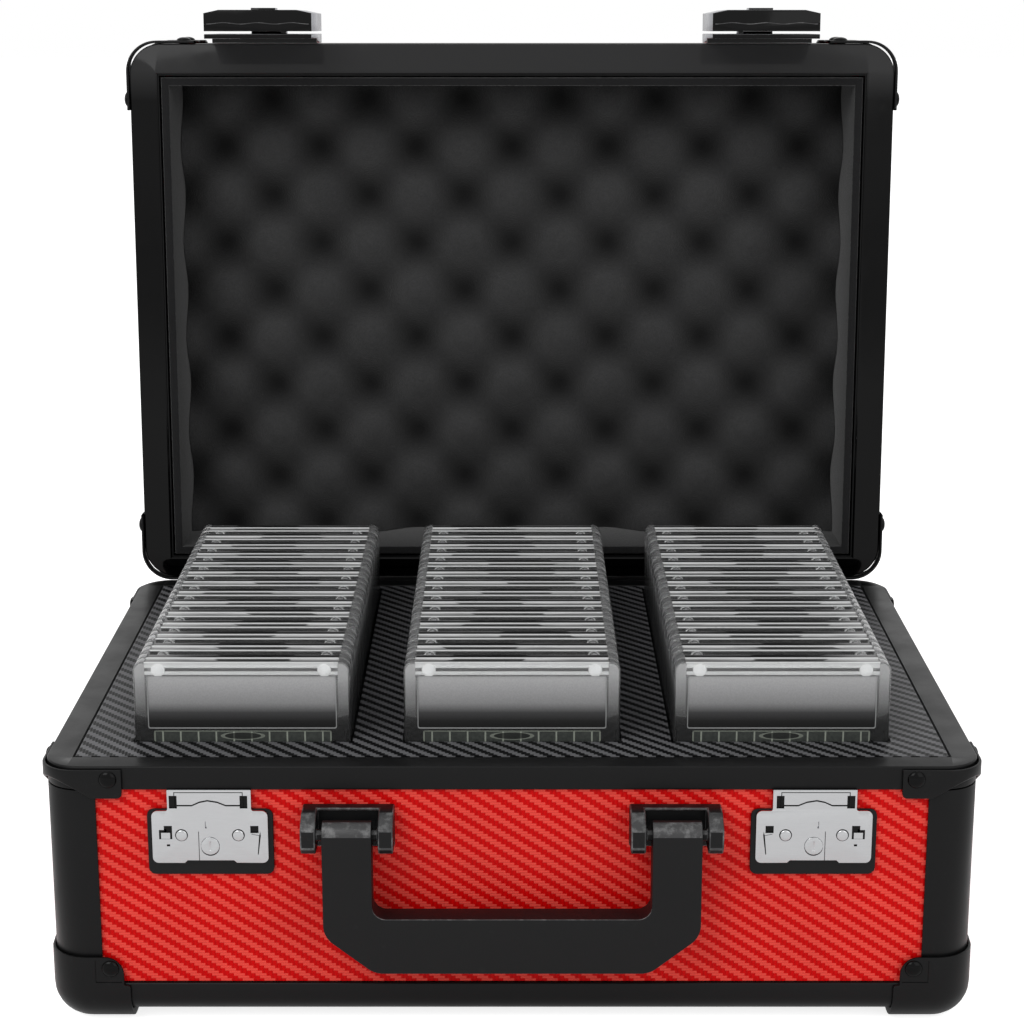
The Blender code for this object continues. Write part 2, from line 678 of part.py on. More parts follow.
def slot_rectangles():
    half_u = SLAB_WIDTH / 2 + SLOT_CLEARANCE
    half_v = ROW_LENGTH / 2 + SLOT_CLEARANCE
    middle = ROW_FRONT + ROW_LENGTH / 2
    return [rectangle(half_u, half_v, centre_u=x, centre_v=middle) for x in slab_centres().values()]


def base_foam():
    """A foam block that fills the base, stepped in under the rim and cut through by the slots."""
    low, step, high = FLOOR_TOP + FIT, BASE_RIM_LOW - FIT, BASE_HEIGHT - SHEET_THICKNESS - FIT
    x, y = HALF_WIDTH - WALL - FIT, HALF_DEPTH - WALL - FIT
    x_in, y_in = HALF_WIDTH - BASE_RIM_WIDTH - FIT, HALF_DEPTH - BASE_RIM_WIDTH - FIT
    foam = block("base_foam", (-x, -y, low), (x, y, step), CHARCOAL_FOAM)
    add(foam, block("foam_collar", (-x_in, -y_in, step - OVERRUN), (x_in, y_in, high)))
    for outline in slot_rectangles():
        cut(foam, prism("foam_slot", outline, low - OVERRUN, high + OVERRUN, "Z"))
    return foam


def foam_top_sheet():
    x, y = HALF_WIDTH - BASE_RIM_WIDTH - FIT, HALF_DEPTH - BASE_RIM_WIDTH - FIT
    low = BASE_HEIGHT - SHEET_THICKNESS
    return prism("foam_top_sheet", rectangle(x, y), low, BASE_HEIGHT, "Z", BLACK_TWILL, slot_rectangles())


def slab_row(side, x):
    """A row of card slabs, standing on edge and joined low in the slot by a web between them."""
    web = SLAB_LOW + SLAB_WEB_HEIGHT
    comb = [(ROW_FRONT + ROW_LENGTH, SLAB_LOW), (ROW_FRONT, SLAB_LOW)]
    for i in range(SLAB_COUNT):
        front = ROW_FRONT + i * SLAB_PITCH
        back = front + SLAB_THICKNESS
        comb += [(front, SLAB_TOP), (back, SLAB_TOP)]
        if i < SLAB_COUNT - 1:
            comb += [(back, web), (front + SLAB_PITCH, web)]
    half = SLAB_WIDTH / 2
    row = prism("slab_row_" + side, comb, x - half, x + half, "X", CLEAR_PLASTIC)
    face = rounded([
        (x - half, SLAB_LOW - OVERRUN, 0),
        (x + half, SLAB_LOW - OVERRUN, 0),
        (x + half, SLAB_TOP, SLAB_RADIUS),
        (x - half, SLAB_TOP, SLAB_RADIUS),
    ], SMALL_ARC_STEPS)
    keep(row, prism("slab_face_" + side, face, ROW_FRONT - OVERRUN, ROW_FRONT + ROW_LENGTH + OVERRUN, "Y"))
    return row


def lid_lining():
    """The strip liner that stands around the inside of the lid and the foam pad between its walls."""
    outer, inner = lid_opening(LINER_INSET), lid_opening(LINER_INSET + LINER_THICKNESS)
    high = CEILING - FIT
    liner = prism("lid_side_liner", outer, LID_LOW + LINER_RECESS, high, "Z", CHARCOAL_FOAM, [inner])
    pad = lid_opening(LINER_INSET + LINER_THICKNESS + FIT)
    foam = prism("lid_foam", pad, BASE_HEIGHT + LID_FOAM_DEPTH, high, "Z", CHARCOAL_FOAM)
    return [liner, foam]


# Latches


def latch_backing():
    outline = rectangle(BACKING_WIDTH / 2, (BACKING_TOP - BACKING_LOW) / 2, BACKING_RADIUS,
                        -LATCH_X, (BACKING_TOP + BACKING_LOW) / 2, SMALL_ARC_STEPS)
    bore = circle(LOCK_RADIUS + FIT, -LATCH_X, LOCK_HEIGHT)
    back = FRONT + PANEL_RECESS - FIT
    return prism("latch_backing_left", outline, back - BACKING_THICKNESS, back, "Y", BLACK_PLASTIC, [bore])


def circle(radius, u, v, steps=ROUND_STEPS):
    return [(u + radius * math.cos(math.tau * k / steps), v + radius * math.sin(math.tau * k / steps))
            for k in range(steps)]


def latch_receiver():
    """A chrome plate with a narrower neck, a shallow pocket under its lip, tab slots and the lock's hole."""
    half, neck, notch = RECEIVER_WIDTH / 2, RECEIVER_NECK_WIDTH / 2, RECEIVER_NOTCH_WIDTH / 2
    raised = RECEIVER_LOW + RECEIVER_NOTCH_RISE
    outline = rounded([
        (-half, RECEIVER_LOW, RECEIVER_RADIUS),
        (-notch - RECEIVER_NOTCH_SLANT, RECEIVER_LOW, 0),
        (-notch, raised, 0),
        (notch, raised, 0),
        (notch + RECEIVER_NOTCH_SLANT, RECEIVER_LOW, 0),
        (half, RECEIVER_LOW, RECEIVER_RADIUS),
        (half, RECEIVER_SHOULDER, RECEIVER_RADIUS),
        (neck, RECEIVER_SHOULDER, 0),
        (neck, RECEIVER_TOP, 0),
        (-neck, RECEIVER_TOP, 0),
        (-neck, RECEIVER_SHOULDER, 0),
        (-half, RECEIVER_SHOULDER, RECEIVER_RADIUS),
    ], SMALL_ARC_STEPS)
    outline = [(u - LATCH_X, v) for u, v in outline]
    slots = [
        rectangle(TAB_SLOT_WIDTH / 2, (TAB_SLOT_TOP - TAB_SLOT_LOW) / 2, 0, side * TAB_SLOT_X - LATCH_X,
                  (TAB_SLOT_TOP + TAB_SLOT_LOW) / 2)
        for side in (-1, 1)
    ]
    holes = [circle(LOCK_RADIUS + FIT, -LATCH_X, LOCK_HEIGHT), *slots]
    back = FRONT + RECEIVER_BACK
    front = back - RECEIVER_THICKNESS
    plate = prism("latch_receiver_left", outline, front, back, "Y", CHROME, holes)
    pocket = block(
        "receiver_pocket",
        (-LATCH_X - POCKET_WIDTH / 2, front - OVERRUN, POCKET_LOW),
        (-LATCH_X + POCKET_WIDTH / 2, front + POCKET_DEPTH, POCKET_TOP),
    )
    cut(plate, pocket)
    return plate


def lock_cylinder():
    """The turning lock, with a key slot across its face."""
    front, back = FRONT - LOCK_PROUD, FRONT + LOCK_SINK
    lock = prism("lock_cylinder_left", circle(LOCK_RADIUS, -LATCH_X, LOCK_HEIGHT), front, back, "Y", CHROME)
    key = block(
        "key_slot",
        (-LATCH_X - KEY_SLOT_WIDTH / 2, front - OVERRUN, LOCK_HEIGHT - KEY_SLOT_LENGTH / 2),
        (-LATCH_X + KEY_SLOT_WIDTH / 2, front + KEY_SLOT_DEPTH, LOCK_HEIGHT + KEY_SLOT_LENGTH / 2),
    )
    cut(lock, key)
    shade_round(lock)
    return lock


def hasp_plate():
    """The fixed plate on the lid, whose tongue hangs clear of the receiver, with the knuckle and pin."""
    low, high = BASE_HEIGHT - HASP_DROP, BASE_HEIGHT + HASP_RISE
    face = FRONT - FIT
    top = face - HASP_PLATE_THICKNESS
    half = HASP_WIDTH / 2
    plate = block("hasp_plate_left", (-LATCH_X - half, top, low), (-LATCH_X + half, face, high), CHROME)
    tongue = FRONT - HASP_TONGUE_CLEARANCE
    relief_high = BASE_HEIGHT + HASP_TONGUE_START
    cut(plate, block(
        "tongue_relief",
        (-LATCH_X - half - OVERRUN, tongue, low - OVERRUN),
        (-LATCH_X + half + OVERRUN, face + OVERRUN, relief_high),
    ))
    pin_y, pin_z = FRONT - HASP_PIN_OUT, BASE_HEIGHT + HASP_PIN_RISE
    knuckle_half = HASP_KNUCKLE_WIDTH / 2
    add(plate, block(
        "knuckle_neck",
        (-LATCH_X - knuckle_half, pin_y, pin_z - HASP_KNUCKLE_RADIUS),
        (-LATCH_X + knuckle_half, top + FIT, pin_z + HASP_KNUCKLE_RADIUS),
    ))
    centre = (-LATCH_X, pin_y, pin_z)
    add(plate, cylinder("knuckle", centre, HASP_KNUCKLE_RADIUS, HASP_KNUCKLE_WIDTH, (1, 0, 0)))
    add(plate, cylinder("hasp_pin", centre, HASP_PIN_RADIUS, HASP_PIN_LENGTH, (1, 0, 0)))
    return plate


def hasp_flap():
    """The swinging body, chamfered along its outer edges, with a pocket for the knuckle."""
    half = HASP_WIDTH / 2
    base, top = FRONT - HASP_BODY_LOW, FRONT - HASP_BODY_TOP
    low, high = BASE_HEIGHT - HASP_DROP, BASE_HEIGHT + HASP_RISE
    section = [
        (-LATCH_X - half, base),
        (-LATCH_X - half, top + HASP_CHAMFER_DROP),
        (-LATCH_X - half + HASP_CHAMFER_RUN, top),
        (-LATCH_X + half - HASP_CHAMFER_RUN, top),
        (-LATCH_X + half, top + HASP_CHAMFER_DROP),
        (-LATCH_X + half, base),
    ]
    flap = prism("hasp_flap_left", section, low, high, "Z", CHROME)
    pocket_half = HASP_KNUCKLE_WIDTH / 2 + PIN_PLAY
    cut(flap, block(
        "knuckle_pocket",
        (-LATCH_X - pocket_half, top + HASP_SKIN, BASE_HEIGHT + HASP_POCKET_LOW),
        (-LATCH_X + pocket_half, base + OVERRUN, high + OVERRUN),
    ))
    centre = (-LATCH_X, FRONT - HASP_PIN_OUT, BASE_HEIGHT + HASP_PIN_RISE)
    bore_length = HASP_PIN_LENGTH + PIN_PLAY * 2
    cut(flap, cylinder("pin_bore", centre, HASP_PIN_RADIUS + PIN_PLAY, bore_length, (1, 0, 0)))
    boss_half = HASP_BOSS_WIDTH / 2
    add(flap, block(
        "flap_boss",
        (-LATCH_X - boss_half, top - HASP_BOSS_HEIGHT, BASE_HEIGHT + HASP_BOSS_LOW),
        (-LATCH_X + boss_half, top + FIT, BASE_HEIGHT + HASP_BOSS_TOP),
    ))
    stem_low = base + HASP_GAP - FIT
    add(flap, block(
        "flap_stem",
        (-LATCH_X + HASP_STEM_X - HASP_STEM_WIDTH / 2, base - FIT, low),
        (-LATCH_X + HASP_STEM_X + HASP_STEM_WIDTH / 2, stem_low, low + HASP_STEM_WIDTH),
    ))
    return flap


# Handle


def handle_bracket():
    """A back plate with a short roof and two ears that carry the pin."""
    back = FRONT + PANEL_RECESS - FIT
    plate_front = back - BRACKET_PLATE_THICKNESS
    low, high = (-HANDLE_X - BRACKET_HALF_WIDTH), (-HANDLE_X + BRACKET_HALF_WIDTH)
    near, far = (low, plate_front, BRACKET_LOW), (high, back, BRACKET_TOP)
    bracket = block("handle_bracket_left", near, far, BLACK_PLASTIC)
    roof_near = (low, FRONT - BRACKET_ROOF_REACH, BRACKET_TOP - BRACKET_ROOF_THICKNESS)
    add(bracket, block("bracket_roof", roof_near, (high, back - FIT, BRACKET_TOP)))
    profile = [
        (back - FIT, EAR_LOW),
        (FRONT - EAR_CHIN_REACH, EAR_LOW),
        (FRONT - EAR_FRONT, EAR_CHIN),
        (FRONT - EAR_FRONT, EAR_SLOPE_LOW),
        (FRONT - EAR_SHELF_REACH, BRACKET_TOP),
        (back - FIT, BRACKET_TOP),
    ]
    add(bracket, prism("bracket_outer_ear", profile, low, low + BRACKET_EAR_THICKNESS, "X"))
    add(bracket, prism("bracket_inner_ear", profile, high - BRACKET_EAR_THICKNESS, high, "X"))
    centre = (-HANDLE_X, FRONT - HANDLE_PIN_OUT, HANDLE_PIN_HEIGHT)
    length = (high - low) - BRACKET_EAR_THICKNESS
    add(bracket, cylinder("handle_pin", centre, HANDLE_PIN_RADIUS, length, (1, 0, 0)))
    return bracket


def handle():
    """One U of flat bar: two arms on their pins and a grip between them, with cut-off outer corners."""
    outer = HANDLE_X + HANDLE_ARM_WIDTH / 2
    inner = HANDLE_X - HANDLE_ARM_WIDTH / 2
    knee = HANDLE_LOW + HANDLE_CORNER_RISE
    heel = outer - HANDLE_CORNER_RUN
    outline = rounded([
        (-outer, HANDLE_TOP, 0),
        (-outer, knee, HANDLE_CORNER_RADIUS),
        (-heel, HANDLE_LOW, HANDLE_CORNER_RADIUS),
        (heel, HANDLE_LOW, HANDLE_CORNER_RADIUS),
        (outer, knee, HANDLE_CORNER_RADIUS),
        (outer, HANDLE_TOP, 0),
        (inner, HANDLE_TOP, 0),
        (inner, HANDLE_GRIP_TOP, HANDLE_INNER_RADIUS),
        (-inner, HANDLE_GRIP_TOP, HANDLE_INNER_RADIUS),
        (-inner, HANDLE_TOP, 0),
    ], SMALL_ARC_STEPS)
    bar = prism("handle", outline, FRONT - HANDLE_FRONT, FRONT - HANDLE_BACK, "Y", BLACK_PLASTIC)
    soften = bar.modifiers.new("soften", "BEVEL")
    soften.width = HANDLE_SOFTEN
    soften.segments = 2
    soften.limit_method = "ANGLE"
    soften.angle_limit = math.radians(SHARP_DEG)
    half = (HANDLE_FRONT - HANDLE_BACK) / 2
    shoulder = rounded([
        (FRONT - HANDLE_FRONT, HANDLE_LOW - OVERRUN, 0),
        (FRONT - HANDLE_BACK, HANDLE_LOW - OVERRUN, 0),
        (FRONT - HANDLE_BACK, HANDLE_TOP, half - WELD),
        (FRONT - HANDLE_FRONT, HANDLE_TOP, half - WELD),
    ])
    keep(bar, prism("arm_tops", shoulder, -outer - OVERRUN, outer + OVERRUN, "X"))
    bore_radius, bore_length = HANDLE_PIN_RADIUS + PIN_PLAY, HANDLE_ARM_WIDTH + OVERRUN
    for side in (-1, 1):
        centre = (side * HANDLE_X, FRONT - HANDLE_PIN_OUT, HANDLE_PIN_HEIGHT)
        cut(bar, cylinder("handle_bore", centre, bore_radius, bore_length, (1, 0, 0)))
    shade_round(bar)
    return bar


# Rear hinge


def hinge_leaf(name, up, knuckles):
    """A hinge leaf on the rear of one rim, with its share of the knuckles along the pin line."""
    near, far = HALF_DEPTH + FIT, HALF_DEPTH + FIT + HINGE_LEAF_THICKNESS
    clear = HINGE_Z + up * (HINGE_RADIUS + FIT)
    edge = HINGE_Z + up * HINGE_LEAF_HEIGHT
    half = HINGE_LENGTH / 2
    leaf = block(name, (-half, near, min(clear, edge)), (half, far, max(clear, edge)), BLACK_FRAME)
    step = HINGE_LENGTH / HINGE_KNUCKLES
    lap = HINGE_Z + up * (HINGE_RADIUS + OVERRUN / 2)
    for i in knuckles:
        start, end = -half + i * step + FIT, -half + (i + 1) * step - FIT
        web_low, web_high = min(HINGE_Z, lap), max(HINGE_Z, lap)
        add(leaf, block(f"{name}_web_{i}", (start, near, web_low), (end, far, web_high)))
        centre = ((start + end) / 2, HINGE_Y, HINGE_Z)
        knuckle = f"{name}_knuckle_{i}"
        add(leaf, cylinder(knuckle, centre, HINGE_RADIUS, end - start, (1, 0, 0), steps=PIN_STEPS))
    return leaf


def rear_hinge():
    odd = range(1, HINGE_KNUCKLES, 2)
    even = range(0, HINGE_KNUCKLES, 2)
    base_leaf = hinge_leaf("hinge_base_leaf", -1, even)
    lid_leaf = hinge_leaf("hinge_lid_leaf", 1, odd)
    centre = (0, HINGE_Y, HINGE_Z)
    pin_length = HINGE_LENGTH - FIT * 4
    add(base_leaf, cylinder("hinge_pin", centre, HINGE_PIN_RADIUS, pin_length, (1, 0, 0), steps=PIN_STEPS))
    length = HINGE_LENGTH + OVERRUN
    cut(lid_leaf, cylinder("hinge_bore", centre, HINGE_BORE_RADIUS, length, (1, 0, 0), steps=PIN_STEPS))
    return base_leaf, lid_leaf


# The whole case


def build_base(case):
    pieces = wall_panels("base", FRAME_TOP + FIT, BASE_RIM_LOW - FIT)
    pieces += corner_posts("base", FRAME_TOP + FIT, BASE_RIM_LOW - FIT)
    pieces += [bottom_frame(), bottom_panel(), base_rim(), base_foam(), foam_top_sheet()]
    pieces += corner_set(corner_cap(), "base_corner_cap_{}")
    pieces += corner_set(rim_bracket(), "base_rim_bracket_{}")
    for make in (latch_backing, latch_receiver, handle_bracket):
        left = make()
        pieces += [left, flipped(left, left.name.replace("left", "right"), "X")]
    carry(case, *pieces)


def build_lid(case, hinge):
    """The lid repeats the base's frame, caps and brackets upside down."""
    pieces = wall_panels("lid", LID_RIM_TOP + FIT, LID_FRAME_LOW - FIT)
    pieces += corner_posts("lid", LID_RIM_TOP + FIT, LID_FRAME_LOW - FIT)
    pieces += [lid_rim(), *lid_lining()]
    pieces.append(flipped(bpy.data.objects["base_bottom_frame"], "lid_top_frame", "Z", TOTAL_HEIGHT))
    x, y = HALF_WIDTH - WALL - FIT, HALF_DEPTH - WALL - FIT
    pieces.append(block("lid_top_panel", (-x, -y, CEILING), (x, y, CEILING + FLOOR_THICKNESS), RED_TWILL))
    for place in ("front_left", "front_right", "rear_left", "rear_right"):
        cap = bpy.data.objects["base_corner_cap_" + place]
        strap = bpy.data.objects["base_rim_bracket_" + place]
        pieces.append(flipped(cap, "lid_corner_cap_" + place, "Z", TOTAL_HEIGHT))
        pieces.append(flipped(strap, "lid_rim_bracket_" + place, "Z", BASE_HEIGHT + LID_LOW))
    plate = hasp_plate()
    pieces += [plate, flipped(plate, "hasp_plate_right", "X")]
    carry(hinge, *pieces)


def build_moving(case, lid_hinge):
    flap = hasp_flap()
    lock = lock_cylinder()
    flaps = {"left": flap, "right": flipped(flap, "hasp_flap_right", "X")}
    locks = {"left": lock, "right": flipped(lock, "lock_cylinder_right", "X")}
    for side, sign in (("left", -1), ("right", 1)):
        pin = (sign * LATCH_X, FRONT - HASP_PIN_OUT, BASE_HEIGHT + HASP_PIN_RISE)
        carry(new_pivot("hasp_pin_line_" + side, pin, lid_hinge), flaps[side])
        core = (sign * LATCH_X, FRONT, LOCK_HEIGHT)
        carry(new_pivot("lock_axis_" + side, core, case), locks[side])
    grip_pins = new_pivot("handle_pin_line", (0, FRONT - HANDLE_PIN_OUT, HANDLE_PIN_HEIGHT), case)
    carry(grip_pins, handle())
    for side, x in slab_centres().items():
        rest = new_pivot("slab_lift_" + side, (x, ROW_FRONT, SLAB_LOW), case)
        carry(rest, slab_row(side, x))


def build_case():
    case = new_pivot("case", (0, 0, 0), None)
    lid_hinge = new_pivot("lid_hinge_line", (0, HINGE_Y, HINGE_Z), case)
    base_leaf, lid_leaf = rear_hinge()
    carry(case, base_leaf)
    carry(lid_hinge, lid_leaf)
    build_base(case)
    build_lid(case, lid_hinge)
    build_moving(case, lid_hinge)
    lid_hinge.rotation_euler = (-LID_SWING, 0, 0)
    case.location = (0, CENTRE_SHIFT, 0)


build_case()
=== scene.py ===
import json
import math

import bmesh
import bpy
from mathutils import Matrix, Vector

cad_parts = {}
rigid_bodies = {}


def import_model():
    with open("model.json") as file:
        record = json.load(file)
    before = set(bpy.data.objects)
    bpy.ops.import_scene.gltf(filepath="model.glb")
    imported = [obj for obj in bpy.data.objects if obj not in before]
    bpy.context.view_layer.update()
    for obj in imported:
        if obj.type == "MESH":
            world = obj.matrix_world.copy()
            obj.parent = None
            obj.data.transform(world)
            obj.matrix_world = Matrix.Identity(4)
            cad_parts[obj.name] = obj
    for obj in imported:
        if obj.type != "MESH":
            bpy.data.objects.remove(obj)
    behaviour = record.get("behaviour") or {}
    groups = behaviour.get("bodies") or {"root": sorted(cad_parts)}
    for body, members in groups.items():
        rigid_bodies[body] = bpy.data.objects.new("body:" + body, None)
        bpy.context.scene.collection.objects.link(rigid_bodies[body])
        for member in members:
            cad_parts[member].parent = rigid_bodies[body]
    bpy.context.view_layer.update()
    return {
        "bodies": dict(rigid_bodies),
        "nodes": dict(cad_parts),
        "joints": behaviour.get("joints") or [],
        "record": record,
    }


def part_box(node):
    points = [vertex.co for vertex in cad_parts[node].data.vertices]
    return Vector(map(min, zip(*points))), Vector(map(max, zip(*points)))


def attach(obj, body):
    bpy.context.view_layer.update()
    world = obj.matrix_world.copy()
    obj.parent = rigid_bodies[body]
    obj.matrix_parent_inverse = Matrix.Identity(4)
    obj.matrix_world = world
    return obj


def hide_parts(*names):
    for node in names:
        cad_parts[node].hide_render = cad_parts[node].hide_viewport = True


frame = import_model()
nodes = frame["nodes"]
print("frame loaded with", len(nodes), "nodes")

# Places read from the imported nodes
rimLow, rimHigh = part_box("base_rim")
middleY = (rimLow.y + rimHigh.y) / 2
halfWidth = rimHigh.x
halfDepth = (rimHigh.y - rimLow.y) / 2
frontY = rimLow.y
rimTop = rimHigh.z
leafLow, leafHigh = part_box("hinge_base_leaf")
hingeRadius = (leafHigh.y - leafLow.y) / 2
hingePoint = Vector((0, (leafLow.y + leafHigh.y) / 2, leafHigh.z - hingeRadius))
cornerNames = ("front_left", "front_right", "rear_left", "rear_right")

caseSizes = {
    "lidHeight": 0.0574,
    "lidOpenDegrees": 92.5,
    "rimGap": 0.0004,
    "fit": 0.0003,
    "cornerRadius": 0.014,
    "wall": 0.0063,
    "capRise": 0.0045,
    "cornerSteps": 14,
    "smoothDegrees": 38,
    "over": 0.004,
    "tiny": 0.00001,
}
fit = caseSizes["fit"]
over = caseSizes["over"]
tiny = caseSizes["tiny"]
closedTop = rimTop + caseSizes["lidHeight"]
lidLow = rimTop + caseSizes["rimGap"]
openTurn = Matrix.Rotation(math.radians(-caseSizes["lidOpenDegrees"]), 4, "X")
openLid = Matrix.Translation(hingePoint) @ openTurn @ Matrix.Translation(-hingePoint)


# Meshes

def roundedOutline(corners, steps=caseSizes["cornerSteps"]):
    # corners (u, v, radius) become an outline with an arc wherever there is a radius
    outline = []
    for i, (u, v, radius) in enumerate(corners):
        here = Vector((u, v))
        if not radius:
            outline.append((u, v))
            continue
        back = (Vector(corners[i - 1][:2]) - here).normalized()
        ahead = (Vector(corners[(i + 1) % len(corners)][:2]) - here).normalized()
        half = back.angle(ahead) / 2
        centre = here + (back + ahead).normalized() * radius / math.sin(half)
        start = here + back * radius / math.tan(half) - centre
        end = here + ahead * radius / math.tan(half) - centre
        first = math.atan2(start.y, start.x)
        sweep = (math.atan2(end.y, end.x) - first + math.pi) % math.tau - math.pi
        for k in range(steps + 1):
            angle = first + sweep * k / steps
            outline.append((centre.x + radius * math.cos(angle), centre.y + radius * math.sin(angle)))
    return outline


def rectangle(halfU, halfV, radius=0, centreU=0, centreV=0, steps=caseSizes["cornerSteps"]):
    signs = ((-1, -1), (1, -1), (1, 1), (-1, 1))
    return roundedOutline([(centreU + halfU * a, centreV + halfV * b, radius) for a, b in signs], steps)


def circle(radius, u, v, steps):
    turns = [math.tau * k / steps for k in range(steps)]
    return [(u + radius * math.cos(turn), v + radius * math.sin(turn)) for turn in turns]


def linked(name, data):
    obj = bpy.data.objects.new(name, data)
    bpy.context.scene.collection.objects.link(obj)
    return obj


def asObject(name, bm):
    bmesh.ops.remove_doubles(bm, verts=bm.verts, dist=tiny / 10)
    bmesh.ops.recalc_face_normals(bm, faces=bm.faces)
    mesh = bpy.data.meshes.new(name)
    bm.to_mesh(mesh)
    bm.free()
    return linked(name, mesh)


def slab(name, outline, low, high, axis="Y"):
    # a flat outline pushed from low to high along an axis
    bm = bmesh.new()
    order = {"X": (2, 0, 1), "Y": (0, 2, 1), "Z": (0, 1, 2)}[axis]
    ends = [[bm.verts.new([(u, v, w)[i] for i in order]) for u, v in outline] for w in (low, high)]
    for end in ends:
        bm.faces.new(end)
    for i in range(len(outline)):
        k = (i + 1) % len(outline)
        bm.faces.new((ends[0][i], ends[0][k], ends[1][k], ends[1][i]))
    return asObject(name, bm)


def box(name, low, high):
    outline = [(low[0], low[1]), (high[0], low[1]), (high[0], high[1]), (low[0], high[1])]
    return slab(name, outline, low[2], high[2], "Z")


def ringLoft(name, sections):
    # closed loft through loops of equal length, the last joined to the first
    bm = bmesh.new()
    rings = [[bm.verts.new(point) for point in section] for section in sections]
    for ring, above in zip(rings, rings[1:] + rings[:1]):
        for i in range(len(ring)):
            k = (i + 1) % len(ring)
            bm.faces.new((ring[i], ring[k], above[k], above[i]))
    bmesh.ops.dissolve_degenerate(bm, dist=tiny / 10, edges=bm.edges)
    return asObject(name, bm)


def settled(obj):
    # applies the modifiers by taking the evaluated mesh
    bpy.context.view_layer.update()
    mesh = bpy.data.meshes.new_from_object(obj.evaluated_get(bpy.context.evaluated_depsgraph_get()))
    mesh.name = obj.name
    obj.modifiers.clear()
    obj.data = mesh
    return obj


def combine(obj, tools, operation):
    for tool in tools:
        modifier = obj.modifiers.new(tool.name, "BOOLEAN")
        modifier.operation = operation
        modifier.solver = "EXACT"
        modifier.object = tool
    settled(obj)
    for tool in tools:
        bpy.data.objects.remove(tool, do_unlink=True)
    return obj


def cut(obj, *tools):
    return combine(obj, tools, "DIFFERENCE")


def join(obj, *tools):
    return combine(obj, tools, "UNION")


def keep(obj, *tools):
    return combine(obj, tools, "INTERSECT")


def flatten(obj, degrees=0.6):
    # merges loose triangles into whole flat faces, so that a bevel runs clean
    bm = bmesh.new()
    bm.from_mesh(obj.data)
    bmesh.ops.remove_doubles(bm, verts=bm.verts, dist=tiny / 4)
    bmesh.ops.dissolve_limit(bm, angle_limit=math.radians(degrees), verts=bm.verts, edges=bm.edges)
    bm.to_mesh(obj.data)
    bm.free()
    return obj


def soften(obj, width, steps=3, worn=False, degrees=32):
    # rounds the sharp edges; worn edges take the piece's second material
    modifier = obj.modifiers.new("edges", "BEVEL")
    modifier.width = width
    modifier.segments = steps
    modifier.limit_method = "ANGLE"
    modifier.angle_limit = math.radians(degrees)
    modifier.harden_normals = False
    if worn:
        modifier.material = 1
    return settled(obj)


def joined(name, objects):
    bm = bmesh.new()
    for obj in objects:
        bm.from_mesh(obj.data)
    mesh = bpy.data.meshes.new(name)
    bm.to_mesh(mesh)
    bm.free()
    for obj in objects:
        bpy.data.objects.remove(obj, do_unlink=True)
    return linked(name, mesh)


def flippedCopy(obj, name, turn):
    # a copy put through a matrix, with its faces turned outwards again where that mirrors it
    mesh = obj.data.copy()
    mesh.transform(turn)
    if turn.determinant() < 0:
        mesh.flip_normals()
    return linked(name, mesh)


def fourCorners(obj, name):
    about = Matrix.Translation((0, middleY, 0))
    turns = [about @ Matrix.Diagonal((x, y, 1, 1)) @ about.inverted() for x, y in ((-1, 1), (1, -1), (-1, -1))]
    copies = [flippedCopy(obj, name, turn) for turn in turns]
    return joined(name, [obj, *copies])


def opened(obj):
    obj.data.transform(openLid)
    return obj


def lidCopy(obj, name, height):
    # a base piece turned upside down about half the height given, then opened with the lid
    return opened(flippedCopy(obj, name, Matrix.Translation((0, 0, height)) @ Matrix.Diagonal((1, 1, -1, 1))))


def cadCopy(name, node):
    # a copy of a CAD node with its loose triangles merged
    mesh = nodes[node].data.copy()
    mesh.materials.clear()
    return flatten(linked(name, mesh))


def dress(obj, looks, body, slot, *replaced):
    # last step of every piece: finish, body and the nodes that it stands for; the material slot that it is
    # given is not used
    looks = looks if isinstance(looks, list) else [looks]
    for i, look in enumerate(looks):
        if i < len(obj.data.materials):
            obj.data.materials[i] = look
        else:
            obj.data.materials.append(look)
    obj.data.shade_smooth()
    obj.data.set_sharp_from_angle(angle=math.radians(caseSizes["smoothDegrees"]))
    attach(obj, body)
    if replaced:
        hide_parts(*replaced)
    return obj


# Nodes of materials and of Geometry Nodes trees

class Wire:
    # an output of a node; plain arithmetic on it adds math nodes to its tree
    def __init__(self, socket):
        self.socket = socket
        self.tree = socket.id_data

    def calc(self, operation, *others):
        return calc(operation, self, *others)

    def __add__(self, other):
        return calc("ADD", self, other)

    def __sub__(self, other):
        return calc("SUBTRACT", self, other)

    def __rsub__(self, other):
        return calc("SUBTRACT", other, self)

    def __mul__(self, other):
        return calc("MULTIPLY", self, other)

    def __truediv__(self, other):
        return calc("DIVIDE", self, other)

    def __rtruediv__(self, other):
        return calc("DIVIDE", other, self)

    def __lt__(self, other):
        return calc("LESS_THAN", self, other)

    def __gt__(self, other):
        return calc("GREATER_THAN", self, other)


def feed(socket, value):
    if isinstance(value, Wire):
        value.tree.links.new(value.socket, socket)
    elif isinstance(value, tuple) and len(value) < len(socket.default_value):
        socket.default_value = (*value, 1)
    else:
        socket.default_value = value


def addNode(tree, kind, feeds, output=0, **settings):
    # a node with its settings and inputs; gives the output that is asked for
    node = tree.nodes.new(kind)
    for label, value in settings.items():
        setattr(node, label, value)
    for label, value in feeds.items():
        feed(node.inputs[label], value)
    return Wire(node.outputs[output])


def calc(operation, *values):
    tree = next(value.tree for value in values if isinstance(value, Wire))
    return addNode(tree, "ShaderNodeMath", dict(enumerate(values)), operation=operation)


def parted(vector):
    outputs = addNode(vector.tree, "ShaderNodeSeparateXYZ", {0: vector}).socket.node.outputs
    return {axis: Wire(outputs[axis]) for axis in "XYZ"}


